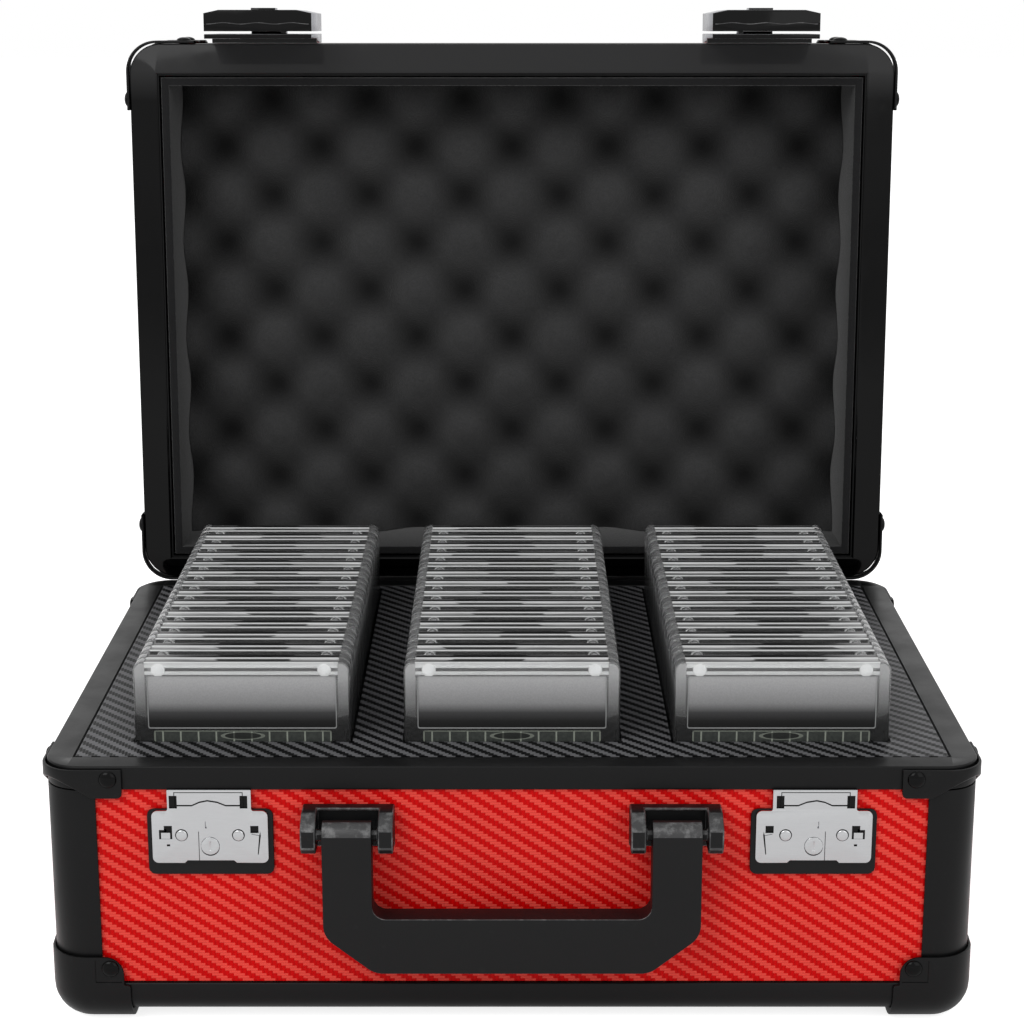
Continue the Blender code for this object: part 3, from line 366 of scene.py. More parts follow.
def newTree(name, sizes):
    # a geometry tree with named inputs; returns it with the wires that they come in by
    tree = bpy.data.node_groups.new(name, "GeometryNodeTree")
    for label, kind in (("Geometry", "Geometry"), *sizes, ("Finish", "Material")):
        tree.interface.new_socket(label, in_out="INPUT", socket_type="NodeSocket" + kind)
    tree.interface.new_socket("Geometry", in_out="OUTPUT", socket_type="NodeSocketGeometry")
    outputs = tree.nodes.new("NodeGroupInput").outputs
    return tree, {socket.name: Wire(socket) for socket in outputs if socket.name}


def closeTree(tree, inputs, geometry):
    real = addNode(tree, "GeometryNodeRealizeInstances", {"Geometry": geometry})
    finished = addNode(tree, "GeometryNodeSetMaterial", {"Geometry": real, "Material": inputs["Finish"]})
    feed(tree.nodes.new("NodeGroupOutput").inputs["Geometry"], finished)
    return tree


def runTree(obj, tree, values):
    modifier = obj.modifiers.new(tree.name, "NODES")
    modifier.node_group = tree
    for item in tree.interface.items_tree:
        if item.in_out == "INPUT" and item.name in values:
            modifier[item.identifier] = values[item.name]
    obj.update_tag()
    settled(obj)
    obj.data.materials.clear()
    return obj


def makeRepeatTree():
    # copies the incoming shape along a line
    tree, inputs = newTree("repeatAlongLine", [("Count", "Int"), ("Step", "Vector")])
    line = addNode(tree, "GeometryNodeMeshLine", {"Count": inputs["Count"], "Offset": inputs["Step"]})
    copies = {"Points": line, "Instance": inputs["Geometry"]}
    return closeTree(tree, inputs, addNode(tree, "GeometryNodeInstanceOnPoints", copies))


def makeRivetTree():
    # sets a domed head on every point, standing along the point's facing attribute
    tree, inputs = newTree("rivetHeads", [("Radius", "Float"), ("Height", "Float")])
    ball = addNode(tree, "GeometryNodeMeshUVSphere", {"Segments": 24, "Rings": 12, "Radius": 1})
    radius, height = inputs["Radius"], inputs["Height"]
    shape = addNode(tree, "ShaderNodeCombineXYZ", {"X": radius, "Y": radius, "Z": height})
    head = addNode(tree, "GeometryNodeTransform", {"Geometry": ball, "Scale": shape})
    facing = addNode(tree, "GeometryNodeInputNamedAttribute", {"Name": "facing"}, "Attribute",
                     data_type="FLOAT_VECTOR")
    turn = addNode(tree, "FunctionNodeAlignRotationToVector", {"Vector": facing}, axis="Z")
    heads = {"Points": inputs["Geometry"], "Instance": head, "Rotation": turn}
    return closeTree(tree, inputs, addNode(tree, "GeometryNodeInstanceOnPoints", heads))


def makeEggCrateTree():
    # a block whose lower face is raised and sunk by two crossed cosines
    tree, inputs = newTree("eggCrateFoam", [
        ("Size", "Vector"), ("Period", "Float"), ("Depth", "Float"), ("Start", "Vector"),
        ("Cells X", "Int"), ("Cells Y", "Int")])
    block = addNode(tree, "GeometryNodeMeshCube", {
        "Size": inputs["Size"], "Vertices X": inputs["Cells X"], "Vertices Y": inputs["Cells Y"]})
    where = parted(addNode(tree, "GeometryNodeInputPosition", {}))
    start = parted(inputs["Start"])
    turns = math.tau / inputs["Period"]
    waves = [((where[axis] - start[axis]) * turns).calc("COSINE") for axis in "XY"]
    rise = (waves[0] * waves[1] + 1.0) * (inputs["Depth"] * 0.5)
    offset = addNode(tree, "ShaderNodeCombineXYZ", {"Z": rise * (where["Z"] < 0.0)})
    moved = addNode(tree, "GeometryNodeSetPosition", {"Geometry": block, "Offset": offset})
    return closeTree(tree, inputs, moved)


repeatTree = makeRepeatTree()
rivetTree = makeRivetTree()
eggCrateTree = makeEggCrateTree()
print("geometry trees ready")


# Materials

def newLook(name, colour, roughness, **more):
    # a Principled material; more holds further inputs, named in one word
    look = bpy.data.materials.new(name)
    look.use_nodes = True
    shader = look.node_tree.nodes["Principled BSDF"].inputs
    labels = {"gloss": "Specular IOR Level", "metallic": "Metallic", "tint": "Specular Tint",
              "sheen": "Sheen Weight", "clear": "Transmission Weight", "bend": "IOR"}
    feed(shader["Base Color"], colour)
    feed(shader["Roughness"], roughness)
    for label, value in more.items():
        feed(shader[labels[label]], value)
    look.diffuse_color = (*colour, 1)
    return look, look.node_tree, shader


def grey(level, blue=None):
    return (level, level, blue or level)


def objectPlace(tree):
    return addNode(tree, "ShaderNodeTexCoord", {}, "Object")


def blendColour(share, a, b):
    return addNode(share.tree, "ShaderNodeMix", {"Factor": share, 6: a, 7: b}, 2, data_type="RGBA")


def scaled(colour, level):
    return addNode(colour.tree, "ShaderNodeVectorMath", {0: colour, "Scale": level}, operation="SCALE")


def speckle(vector, scale, detail=2.0, roughness=0.5, stretch=None):
    if stretch:
        vector = addNode(vector.tree, "ShaderNodeMapping", {"Scale": stretch, "Vector": vector})
    feeds = {"Scale": scale, "Detail": detail, "Roughness": roughness, "Vector": vector}
    return addNode(vector.tree, "ShaderNodeTexNoise", feeds, "Fac")


def remap(value, fromLow, fromHigh, toLow=0.0, toHigh=1.0):
    return addNode(value.tree, "ShaderNodeMapRange", {
        "Value": value, "From Min": fromLow, "From Max": fromHigh, "To Min": toLow, "To Max": toHigh})


def colourRamp(position, stops):
    # a colour ramp through (share, colour) stops
    ramp = addNode(position.tree, "ShaderNodeValToRGB", {"Fac": position})
    elements = ramp.socket.node.color_ramp.elements
    elements[0].color = (*stops[0][1], 1)
    elements[1].color = (*stops[-1][1], 1)
    for share, colour in stops[1:-1]:
        elements.new(share).color = (*colour, 1)
    return ramp


def addBump(shader, height, distance, strength):
    feeds = {"Strength": strength, "Distance": distance, "Height": height}
    feed(shader["Normal"], addNode(height.tree, "ShaderNodeBump", feeds))


twillSizes = {
    "stepAcross": 0.00162,
    "stepDown": 0.00103,
    "sheetAcross": 0.00134,
    "sheetDown": 0.00145,
    "cycle": 5,
    "relief": 0.00010,
    "fibre": 5200,
    "cloud": 34,
}
redTwill = {"light": (0.86, 0.070, 0.052), "dark": (0.64, 0.0010, 0.0012), "roughness": 0.42, "gloss": 0.09}
blackTwill = {"light": grey(0.135, 0.142), "dark": grey(0.0020, 0.0024), "roughness": 0.40, "gloss": 0.12}


def twillLook(name, colours, axes, across, down):
    # twill: bands of light and dark tows that step down to the right
    cycle = twillSizes["cycle"]
    look, tree, shader = newLook(name, colours["dark"], colours["roughness"], gloss=colours["gloss"])
    place = objectPlace(tree)
    parts = parted(place)
    u = parts[axes[0]] / across
    v = parts[axes[1]] / down
    turn = (u.calc("FLOOR") + v.calc("FLOOR") + 0.25).calc("FLOORED_MODULO", cycle)
    halfStep = (u.calc("FRACT") > 0.5) * 0.5
    lit = turn + halfStep < cycle / 2
    alongU = (u.calc("FRACT") * math.pi).calc("SINE")
    alongV = (v.calc("FRACT") * math.pi).calc("SINE")
    tow = lit * alongV + (1.0 - lit) * alongU
    grain = speckle(place, twillSizes["fibre"], 1.0)
    cloud = remap(speckle(place, twillSizes["cloud"]), 0.3, 0.7, 0.93, 1.07)
    shade = (grain * 0.30 + 0.72) * cloud * (tow * 0.22 + 0.86)
    feed(shader["Base Color"], scaled(blendColour(lit, colours["dark"], colours["light"]), shade))
    addBump(shader, tow + grain * 0.35, twillSizes["relief"], 0.7)
    return look


def plasticLook(name, colour, roughness, grainScale, grainDepth, gloss, scuff, paintedReflection=None, wear=(0.60, 0.78)):
    # moulded or painted surface: fine grain, faint clouding in its gloss and pale scuffs; it can also be
    # painted lighter above a given height, a painted reflection
    look, tree, shader = newLook(name, colour, roughness, gloss=gloss)
    place = objectPlace(tree)
    cloud = speckle(place, 60.0, 4.0, 0.6)
    feed(shader["Roughness"], remap(cloud, 0.3, 0.7, max(roughness - 0.06, 0.03), roughness + 0.07))
    pale = tuple(min(1, part + scuff) for part in colour)
    marks = remap(speckle(place, 240.0, 6.0, 0.72), *wear, 0.0, 0.55)
    shade = blendColour(marks, colour, pale)
    # painted reflection: lighter above the given height
    if paintedReflection:
        low, high, paintedReflectionColour = paintedReflection
        shade = blendColour(remap(parted(place)["Z"], low, high), shade, paintedReflectionColour)
    feed(shader["Base Color"], shade)
    addBump(shader, speckle(place, grainScale, 3.0), grainDepth, 0.6)
    return look


def foamLook(name, colour, deep, shadedPits=False):
    look, tree, shader = newLook(name, colour, 0.95, gloss=0.12, sheen=0.25)
    place = objectPlace(tree)
    cells = addNode(tree, "ShaderNodeTexVoronoi", {"Scale": 1500, "Vector": place}, "Distance")
    fine = speckle(place, 900.0, 3.0, 0.7)
    tone = fine * 0.6 + speckle(place, 28.0, 3.0, 0.6) * 0.4
    shade = blendColour(remap(tone, 0.35, 0.65), deep, colour)
    # painted shade: the foam is darkened towards the bottoms of its pits
    if shadedPits:
        pit = addNode(tree, "ShaderNodeAttribute", {}, "Fac", attribute_name="pit")
        hollow = tuple(part * 0.16 for part in deep)
        shade = blendColour(remap(pit, 0.25, 1.0), shade, hollow)
    feed(shader["Base Color"], shade)
    addBump(shader, cells + fine * 0.8, 0.00025, 0.8)
    return look


def chromeLook(name, colour, roughness):
    # plated steel: faint brushing and soft clouding in its gloss
    look, tree, shader = newLook(name, colour, roughness, metallic=1.0, tint=(0.55, 0.55, 0.57))
    place = objectPlace(tree)
    brushed = speckle(place, 260.0, 3.0, 0.6, (1, 1, 14))
    feed(shader["Roughness"], remap(speckle(place, 90.0, 3.0), 0.3, 0.7, roughness * 0.7, roughness * 1.5))
    feed(shader["Base Color"], blendColour(brushed, tuple(part * 0.88 for part in colour), colour))
    addBump(shader, brushed, 0.00001, 0.25)
    return look


def clearLook(name, colour, roughness, low, high, deep):
    # clear plastic whose colour darkens towards its foot, a painted shade of the dark foam slot that it stands
    # in
    look, tree, shader = newLook(name, colour, roughness, clear=0.94, bend=1.49)
    place = objectPlace(tree)
    feed(shader["Base Color"], blendColour(remap(parted(place)["Z"], low, high), deep, colour))
    smear = speckle(place, 70.0, 3.0, 0.6)
    feed(shader["Roughness"], remap(smear, 0.4, 0.75, roughness, roughness + 0.03))
    return look


def fadedLook(name, stops, roughness):
    # a face painted lighter upwards through (height, colour) stops in metres: painted light at the top and
    # painted shade that deepens towards the slab's foot
    look, tree, shader = newLook(name, stops[0][1], roughness, gloss=0.2)
    place = objectPlace(tree)
    low, high = stops[0][0], stops[-1][0]
    shares = [((height - low) / (high - low), colour) for height, colour in stops]
    fleck = speckle(place, 1800.0)
    shadeRamp = colourRamp(remap(parted(place)["Z"], low, high), shares)
    feed(shader["Base Color"], scaled(shadeRamp, remap(fleck, 0.3, 0.7, 0.94, 1.06)))
    addBump(shader, fleck, 0.00002, 0.3)
    return look


redFront, redSide, redFlat = (
    twillLook(name, redTwill, axes, twillSizes["stepAcross"], twillSizes["stepDown"])
    for name, axes in (("redTwillFront", "XZ"), ("redTwillSide", "YZ"), ("redTwillFlat", "XY")))
sheetTwill = twillLook("blackTwillTop", blackTwill, "XY", twillSizes["sheetAcross"], twillSizes["sheetDown"])

# colour, roughness, grain scale, grain depth, gloss and how much paler the scuffs are
plastics = {
    "satinBlackFrame": (grey(0.0045, 0.0047), 0.34, 1400.0, 0.00003, 0.15, 0.010),
    "glossBlackRim": (grey(0.0015, 0.0016), 0.09, 900.0, 0.000008, 0.16, 0.002),
    "glossBlackRivet": (grey(0.0008, 0.0009), 0.07, 1600.0, 0.000002, 0.12, 0.0005),
    "grainedBlackPlastic": (grey(0.0050, 0.0053), 0.44, 2600.0, 0.00006, 0.18, 0.012),
    "frostedPin": ((0.86, 0.87, 0.87), 0.25, 900.0, 0.00001, 0.5, 0.05),
    "floorBoard": (grey(0.0300, 0.0310), 0.75, 500.0, 0.00015, 0.1, 0.03),
    "milkyRail": ((0.74, 0.75, 0.75), 0.30, 700.0, 0.00002, 0.5, 0.05),
    "frostedRidge": ((0.66, 0.67, 0.67), 0.30, 700.0, 0.00002, 0.5, 0.05),
    "labelEdging": ((0.30, 0.305, 0.305), 0.30, 700.0, 0.00002, 0.4, 0.05),
}
satinBlack, glossBlack, rivetBlack, grainBlack, pinWhite, boardBlack, railWhite, ridgeWhite, lineGrey = (
    plasticLook(name, *values) for name, values in plastics.items())
# the lid rim is painted lighter on its highest band in the open lid, a painted reflection of the bright slabs
# and floor below it
rimGloss = plasticLook("glossBlackLidRim", grey(0.0008, 0.0009), 0.09, 900.0, 0.000008, 0.13, 0.002,
                       paintedReflection=(0.322, 0.336, (0.0230, 0.0230, 0.0235)))
wornBlack = plasticLook("wornBlackEdge", grey(0.0240, 0.0250), 0.36, 2200.0, 0.00008, 0.5, 0.22,
                        wear=(0.47, 0.70))
eggFoam = foamLook("eggCrateFoam", grey(0.0420, 0.0425), grey(0.0270, 0.0275), shadedPits=True)
darkFoam = foamLook("darkFoam", grey(0.0100, 0.0105), grey(0.0060, 0.0065))
chrome = chromeLook("platedSteel", (0.52, 0.525, 0.535), 0.17)
clearShell = clearLook("clearShell", (0.97, 0.975, 0.975), 0.02, 0.108, 0.130, (0.30, 0.305, 0.305))
print("finishes mixed")


# Walls and boards that keep their CAD shape

def finishNode(name, look):
    mesh = nodes[name].data
    if not mesh.materials:
        mesh.materials.append(look)
    for i in range(len(mesh.materials)):
        mesh.materials[i] = look


for part, frontLook in (("base", redFront), ("lid", redFlat)):
    for side, look in (("front", frontLook), ("rear", frontLook), ("left", redSide), ("right", redSide)):
        finishNode(f"{part}_{side}_panel", look)
finishNode("base_bottom_panel", boardBlack)
finishNode("lid_top_panel", redFront)
finishNode("foam_top_sheet", sheetTwill)
print("walls dressed")


# Rims, edge frames and posts

rimSizes = {
    "baseWidth": 0.0105,
    "baseHeight": 0.009,
    "edge": 0.0006,
    "lidFront": 0.0134,
    "lidSide": 0.0126,
    "lidRear": 0.0095,
    "lidHeight": 0.009,
    "lidBevel": 0.0020,
    "bevelShares": ((0.12, 0.55), (0.45, 0.16), (1.1, -0.13)),
    "grooveShadeNear": 0.0001,
    "grooveShadeFar": 0.0006,
    "grooveShadeRise": 0.012,
}


def caseLoop(inset, z, square=False):
    radius = tiny if square else max(caseSizes["cornerRadius"] - inset, tiny)
    return [(u, v, z) for u, v in rectangle(halfWidth - inset, halfDepth - inset, radius, 0, middleY)]


def lidOpening(inset):
    halfU = halfWidth - rimSizes["lidSide"] - inset
    halfV = halfDepth - (rimSizes["lidFront"] + rimSizes["lidRear"]) / 2 - inset
    return halfU, halfV, middleY + (rimSizes["lidFront"] - rimSizes["lidRear"]) / 2


def openingLoop(inset, z):
    halfU, halfV, centre = lidOpening(inset)
    return [(u, v, z) for u, v in rectangle(halfU, halfV, tiny, 0, centre)]


def edgeArc(inset, z, radius, start, end, steps=4):
    # (inset, z) points of a small rounding, angles in degrees from straight out
    angles = [math.radians(start + (end - start) * k / steps) for k in range(steps + 1)]
    return [(inset - radius * math.cos(angle), z + radius * math.sin(angle)) for angle in angles]


rimBottom = rimTop - rimSizes["baseHeight"]
edge, rimWidth = rimSizes["edge"], rimSizes["baseWidth"]
outside = edgeArc(edge, rimBottom + edge, edge, -90, 0) + edgeArc(edge, rimTop - edge, edge, 0, 90)
inside = [(rimWidth - edge, rimTop), (rimWidth, rimTop - edge), (rimWidth, rimBottom)]
sections = [caseLoop(inset, z) for inset, z in outside] + [caseLoop(inset, z, True) for inset, z in inside]
dress(ringLoft("baseRimRing", sections), satinBlack, "base", "black_frame", "base_rim")

lidRimTop = lidLow + rimSizes["lidHeight"]
bevelZ = lidLow + rimSizes["lidBevel"]
sections = [caseLoop(0, lidRimTop), caseLoop(0, bevelZ + edge)]
sections += [caseLoop(edge * share, bevelZ + edge * rise) for share, rise in rimSizes["bevelShares"]]
sections += [openingLoop(-edge, lidLow), openingLoop(0, lidLow + edge), openingLoop(0, lidRimTop)]
dress(opened(ringLoft("lidRimRing", sections)), rimGloss, "lid", "black_gloss", "lid_rim")
# a thin black skin inside the rim's opening, standing deeper than the rim: a painted shadow in the gap between
# rim and liner
near, far = rimSizes["grooveShadeNear"], rimSizes["grooveShadeFar"]
low, high = lidLow + edge * 2, lidRimTop + rimSizes["grooveShadeRise"]
sections = [openingLoop(*at) for at in ((near, high), (near, low), (far, low), (far, high))]
dress(opened(ringLoft("lidGrooveShade", sections)), satinBlack, "lid", "black_frame")

frameSizes = {"height": 0.0127, "edgeRadius": 0.008, "arcSteps": 10, "lip": 0.0007, "lipSteps": 3}
postSizes = {"leaf": 0.0194, "thick": 0.001, "arm": 0.014, "edge": 0.00025}


def edgeFrame(name):
    # the ring at the floor, rounded along its lower edge
    low, high = caseSizes["capRise"], caseSizes["capRise"] + frameSizes["height"]
    radius, lip, wall = frameSizes["edgeRadius"], frameSizes["lip"], caseSizes["wall"]
    profile = edgeArc(radius, low + radius, radius, -90, 0, frameSizes["arcSteps"])
    profile += edgeArc(lip, high - lip, lip, 0, 90, frameSizes["lipSteps"])
    inside = [(wall, high), (wall, low + radius), (radius, low)]
    return ringLoft(name, [caseLoop(*at) for at in profile] + [caseLoop(*at, True) for at in inside])


def cornerPosts(name, low, high):
    leaf, thick, arm, wall = postSizes["leaf"], postSizes["thick"], postSizes["arm"], caseSizes["wall"]
    corners = [
        (0, 0, caseSizes["cornerRadius"]), (leaf, 0, 0), (leaf, thick, 0), (arm, thick, 0), (arm, wall, 0),
        (wall, wall, 0), (wall, arm, 0), (thick, arm, 0), (thick, leaf, 0), (0, leaf, 0)]
    outline = [(u - halfWidth, v + frontY) for u, v in roundedOutline(corners)]
    return fourCorners(soften(slab(name, outline, low, high, "Z"), postSizes["edge"], 2), name)


def bothHalves(base, lid, stems, places=("",)):
    # a satin base piece and its fellow on the lid, with the nodes that they replace
    for obj, body, stem in ((base, "base", stems[0]), (lid, "lid", stems[1])):
        dress(obj, satinBlack, body, "black_frame", *[stem + place for place in places])


baseFrame = edgeFrame("baseEdgeFrame")
bothHalves(baseFrame, lidCopy(baseFrame, "lidEdgeFrame", closedTop), ("base_bottom_frame", "lid_top_frame"))
frameTop = caseSizes["capRise"] + frameSizes["height"]
bothHalves(cornerPosts("baseCornerPosts", frameTop + fit, rimBottom - fit),
           opened(cornerPosts("lidCornerPosts", lidRimTop + fit, closedTop - frameTop - fit)),
           ("base_corner_post_", "lid_corner_post_"), cornerNames)
print("rims, frames and posts made")


# Corner caps, rim brackets and their rivets

capSizes = {
    "proud": 0.0014,
    "ball": 0.0134,
    "foot": 0.0296,
    "footHeight": 0.0168,
    "footRadius": 0.0012,
    "leaf": 0.0273,
    "leafHeight": 0.0281,
    "leafRadius": 0.007,
    "tipRadius": 0.0006,
    "arcSteps": 9,
    "edge": 0.0004,
    "rivetIn": 0.0224,
    "rivetUp": 0.0237,
    "lineIn": 0.0167,
    "lineUp": 0.0180,
    "lineEndDown": 0.0012,
    "lineEndIn": 0.0008,
    "line": 0.0004,
    "lineDeep": 0.0003,
}
strapSizes = {
    "length": 0.0294,
    "drop": 0.0120,
    "topInset": 0.0010,
    "cornerRadius": 0.0137,
    "slopeStart": 0.0170,
    "slopeRise": 0.0059,
    "slopeRun": 0.0095,
    "lowRadius": 0.0019,
    "edge": 0.00035,
    "rivetIn": 0.0245,
    "rivetDrop": 0.0045,
}
rivetSizes = {"radius": 0.0033, "height": 0.0015}


def roundEdges(obj, radius, steps, pick):
    bm = bmesh.new()
    bm.from_mesh(obj.data)
    edges = [e for e in bm.edges if pick(e.verts[0].co, e.verts[1].co)]
    bmesh.ops.bevel(bm, geom=edges, offset=radius, segments=steps, profile=0.5, affect="EDGES")
    bm.to_mesh(obj.data)
    bm.free()


def cornerShell(name, gap, low, radius, edgeRadius):
    # a block over the front left corner, rounded upright and along its lower edges
    west, south, steps = -halfWidth - gap, frontY - gap, capSizes["arcSteps"]
    reach = capSizes["foot"] + over
    shell = box(name, (west, south, low), (west + reach, south + reach, capSizes["leafHeight"] + over))

    def upright(a, b):
        return (a - b).xy.length < tiny and a.x < west + tiny and a.y < south + tiny

    def lower(a, b):
        centre = (a + b) / 2
        outer = centre.x < west + tiny or centre.y < south + tiny
        inCorner = centre.x < west + radius and centre.y < south + radius
        return a.z < low + tiny and b.z < low + tiny and (outer or inCorner)

    roundEdges(shell, radius, steps, upright)
    roundEdges(shell, edgeRadius, steps, lower)
    return shell


def keepProfile(obj, profile, before, beyond):
    # keeps what lies inside an (along, z) profile seen from the front and from the side
    for start, across, axis in ((-halfWidth, frontY, "Y"), (frontY, -halfWidth, "X")):
        outline = [(u + start, z) for u, z in profile]
        keep(obj, slab("profile", outline, across + before, across + beyond, axis))


def leafLine(onFront, start, end, low, high):
    # the tool for one groove on the cap's front leaf or side leaf
    out, deep = -capSizes["proud"] - over, capSizes["lineDeep"] - capSizes["proud"]
    if onFront:
        return box("line", (-halfWidth + start, frontY + out, low), (-halfWidth + end, frontY + deep, high))
    return box("line", (-halfWidth + out, frontY + start, low), (-halfWidth + deep, frontY + end, high))


def cornerCap(name):
    size, rise, corner = capSizes, caseSizes["capRise"], caseSizes["cornerRadius"]
    proud, foot, leaf, height = size["proud"], size["foot"], size["leaf"], size["leafHeight"]
    cap = cornerShell(name, proud, 0, corner + proud, size["ball"])
    cut(cap, cornerShell("hollow", fit, rise - fit, corner + fit, frameSizes["edgeRadius"] + fit))
    before = -proud - over
    profile = roundedOutline([
        (before, -over, 0), (foot, -over, 0), (foot, size["footHeight"], size["footRadius"]),
        (leaf, size["footHeight"], size["tipRadius"]), (leaf, height, size["leafRadius"]),
        (before, height, 0)], 10)
    keepProfile(cap, profile, before, foot + over * 2)
    soften(flatten(cap, degrees=0.3), size["edge"], 2)
    line, inward, up = size["line"], size["lineIn"], size["lineUp"]
    lines = ((inward, inward + line, up, height - size["lineEndDown"]),
             (inward, leaf - size["lineEndIn"], up, up + line))
    cut(cap, *[leafLine(onFront, *at) for onFront in (True, False) for at in lines])
    return fourCorners(cap, name)


def rimStrap(name):
    # a strap bent round the corner under the rim, cut on the slant where it passes the post
    size, proud = strapSizes, capSizes["proud"]
    length, inner = size["length"], size["cornerRadius"] - (proud - fit)
    outline = roundedOutline([
        (-proud, -proud, size["cornerRadius"]), (length, -proud, 0), (length, -fit, 0),
        (-fit, -fit, inner), (-fit, length, 0), (-proud, length, 0)])
    low, high = rimTop - size["drop"], rimTop - size["topInset"]
    strap = slab(name, [(u - halfWidth, v + frontY) for u, v in outline], low, high, "Z")
    diagonal = math.sqrt(2)
    start, run = size["slopeStart"] / diagonal, size["slopeRun"] / diagonal
    reach = caseSizes["cornerRadius"]
    rise = size["slopeRise"] * (start + reach) / run
    slant = [(start, low), (-reach, low + rise), (-reach, low - over), (start, low - over)]
    wedge = slab("slant", slant, -length, length)
    turn = Matrix.Rotation(math.radians(45), 4, "Z")
    wedge.data.transform(Matrix.Translation((-halfWidth, frontY, 0)) @ turn)
    cut(strap, wedge)
    profile = roundedOutline([(-over, low, 0), (length, low, size["lowRadius"]), (length, high + over, 0),
                              (-over, high + over, 0), (-over, low - over, 0)], 8)
    keepProfile(strap, profile, -over, length + over)
    soften(flatten(strap, degrees=0.3), size["edge"], 2)
    return fourCorners(strap, name)


def rivetPoints(heights):
    # (place, facing) of the rivet heads on all four corners, two to a corner at each (inset, height)
    proud, places = capSizes["proud"], []
    for inset, z in heights:
        for sx in (-1, 1):
            for sy in (-1, 1):
                front = (sx * (halfWidth - inset), middleY + sy * (halfDepth + proud), z)
                flank = (sx * (halfWidth + proud), middleY + sy * (halfDepth - inset), z)
                places += [(Vector(front), Vector((0, sy, 0))), (Vector(flank), Vector((sx, 0, 0)))]
    return places


def rivetHeads(name, places, size, look, body, slot):
    mesh = bpy.data.meshes.new(name)
    mesh.from_pydata([tuple(place) for place, _ in places], [], [])
    facing = mesh.attributes.new("facing", "FLOAT_VECTOR", "POINT")
    facing.data.foreach_set("vector", [part for _, way in places for part in way])
    heads = {"Radius": size["radius"], "Height": size["height"], "Finish": look}
    dress(runTree(linked(name, mesh), rivetTree, heads), look, body, slot)


caps = cornerCap("baseCornerCaps")
lidCaps = lidCopy(caps, "lidCornerCaps", closedTop)
bothHalves(caps, lidCaps, ("base_corner_cap_", "lid_corner_cap_"), cornerNames)
straps = rimStrap("baseRimStraps")
lidStraps = lidCopy(straps, "lidRimStraps", rimTop + lidLow)
bothHalves(straps, lidStraps, ("base_rim_bracket_", "lid_rim_bracket_"), cornerNames)
capIn, capUp, strapIn = capSizes["rivetIn"], capSizes["rivetUp"], strapSizes["rivetIn"]
strapUp = rimTop - strapSizes["rivetDrop"]
basePlaces = rivetPoints([(capIn, capUp), (strapIn, strapUp)])
rivetHeads("baseRivets", basePlaces, rivetSizes, rivetBlack, "base", "black_gloss")
lidPlaces = rivetPoints([(capIn, closedTop - capUp), (strapIn, rimTop + lidLow - strapUp)])
lidPlaces = [(openLid @ place, openTurn.to_3x3() @ way) for place, way in lidPlaces]
rivetHeads("lidRivets", lidPlaces, rivetSizes, rivetBlack, "lid", "black_gloss")
print("corner hardware made")


# Foam

foamSizes = {
    "period": 0.0447,
    "depth": 0.0125,
    "crest": 0.0320,
    "cell": 0.0016,
    "pitX": 0.0,
    "pitZ": 0.209,
    "linerInset": 0.0015,
    "linerThick": 0.0036,
    "linerRecess": 0.0011,
    "lipShare": 0.3,
    "ceiling": 0.0098,
    "slotEdge": 0.0008,
    "slotClear": 0.0008,
}
rowBoxes = {side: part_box("slab_row_" + side) for side in ("left", "middle", "right")}
foamTop = closedTop - foamSizes["ceiling"]


def eggCrate(name):
    # the pad between the lid's walls, with its crests turned to the slabs
    size = foamSizes
    halfU, halfV, centre = lidOpening(size["linerInset"] + size["linerThick"] + fit)
    low = rimTop + size["crest"]
    pit = Vector((size["pitX"], hingePoint.y + low + size["depth"] - hingePoint.z, size["pitZ"]))
    pit = openLid.inverted() @ pit
    shape = Vector((halfU * 2, halfV * 2, foamTop - low))
    pad = runTree(linked(name, bpy.data.meshes.new(name)), eggCrateTree, {
        "Size": shape, "Period": size["period"], "Depth": size["depth"],
        "Start": Vector((pit.x, pit.y - centre, 0)), "Cells X": round(shape.x / size["cell"]),
        "Cells Y": round(shape.y / size["cell"]), "Finish": eggFoam})
    # how deep each point lies in the pits, which the foam material turns into painted shade
    share = pad.data.attributes.new("pit", "FLOAT", "POINT")
    share.data.foreach_set("value", [(v.co.z + shape.z / 2) / size["depth"] for v in pad.data.vertices])
    pad.data.transform(openLid @ Matrix.Translation((0, centre, (low + foamTop) / 2)))
    return pad


def wallLiner(name):
    low, lip, share = lidLow + foamSizes["linerRecess"], foamSizes["slotEdge"], foamSizes["lipShare"]
    outer, inner = foamSizes["linerInset"], foamSizes["linerInset"] + foamSizes["linerThick"]
    profile = [
        (outer, foamTop), (outer, low + lip), (outer + lip * share, low + lip * share), (outer + lip, low),
        (inner - lip, low), (inner - lip * share, low + lip * share), (inner, low + lip), (inner, foamTop)]
    return ringLoft(name, [openingLoop(*at) for at in profile])


def baseFoam(name):
    low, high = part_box("base_foam")
    step, inset = rimBottom - fit, rimSizes["baseWidth"] + fit
    foam = slab(name, rectangle((high.x - low.x) / 2, (high.y - low.y) / 2, 0, 0, middleY), low.z, step, "Z")
    collar = rectangle(halfWidth - inset, halfDepth - inset, 0, 0, middleY)
    join(foam, slab("collar", collar, step - foamSizes["slotEdge"], high.z, "Z"))
    slots, grow = [], foamSizes["slotClear"]
    for rowLow, rowHigh in rowBoxes.values():
        half, centre = (rowHigh - rowLow) / 2, (rowHigh + rowLow) / 2
        slot = rectangle(half.x + grow, half.y + grow, 0, centre.x, centre.y)
        slots.append(slab("slot", slot, low.z - over, high.z + over, "Z"))
    cut(foam, *slots)
    return soften(flatten(foam), foamSizes["slotEdge"] / 2, 3)


lidPad = dress(eggCrate("lidEggCrateFoam"), eggFoam, "lid", "charcoal_foam", "lid_foam")
liner = dress(opened(wallLiner("lidWallLiner")), darkFoam, "lid", "charcoal_foam", "lid_side_liner")
insert = dress(baseFoam("baseSlottedFoam"), darkFoam, "base", "charcoal_foam", "base_foam")
print("foam made")


# Card slabs

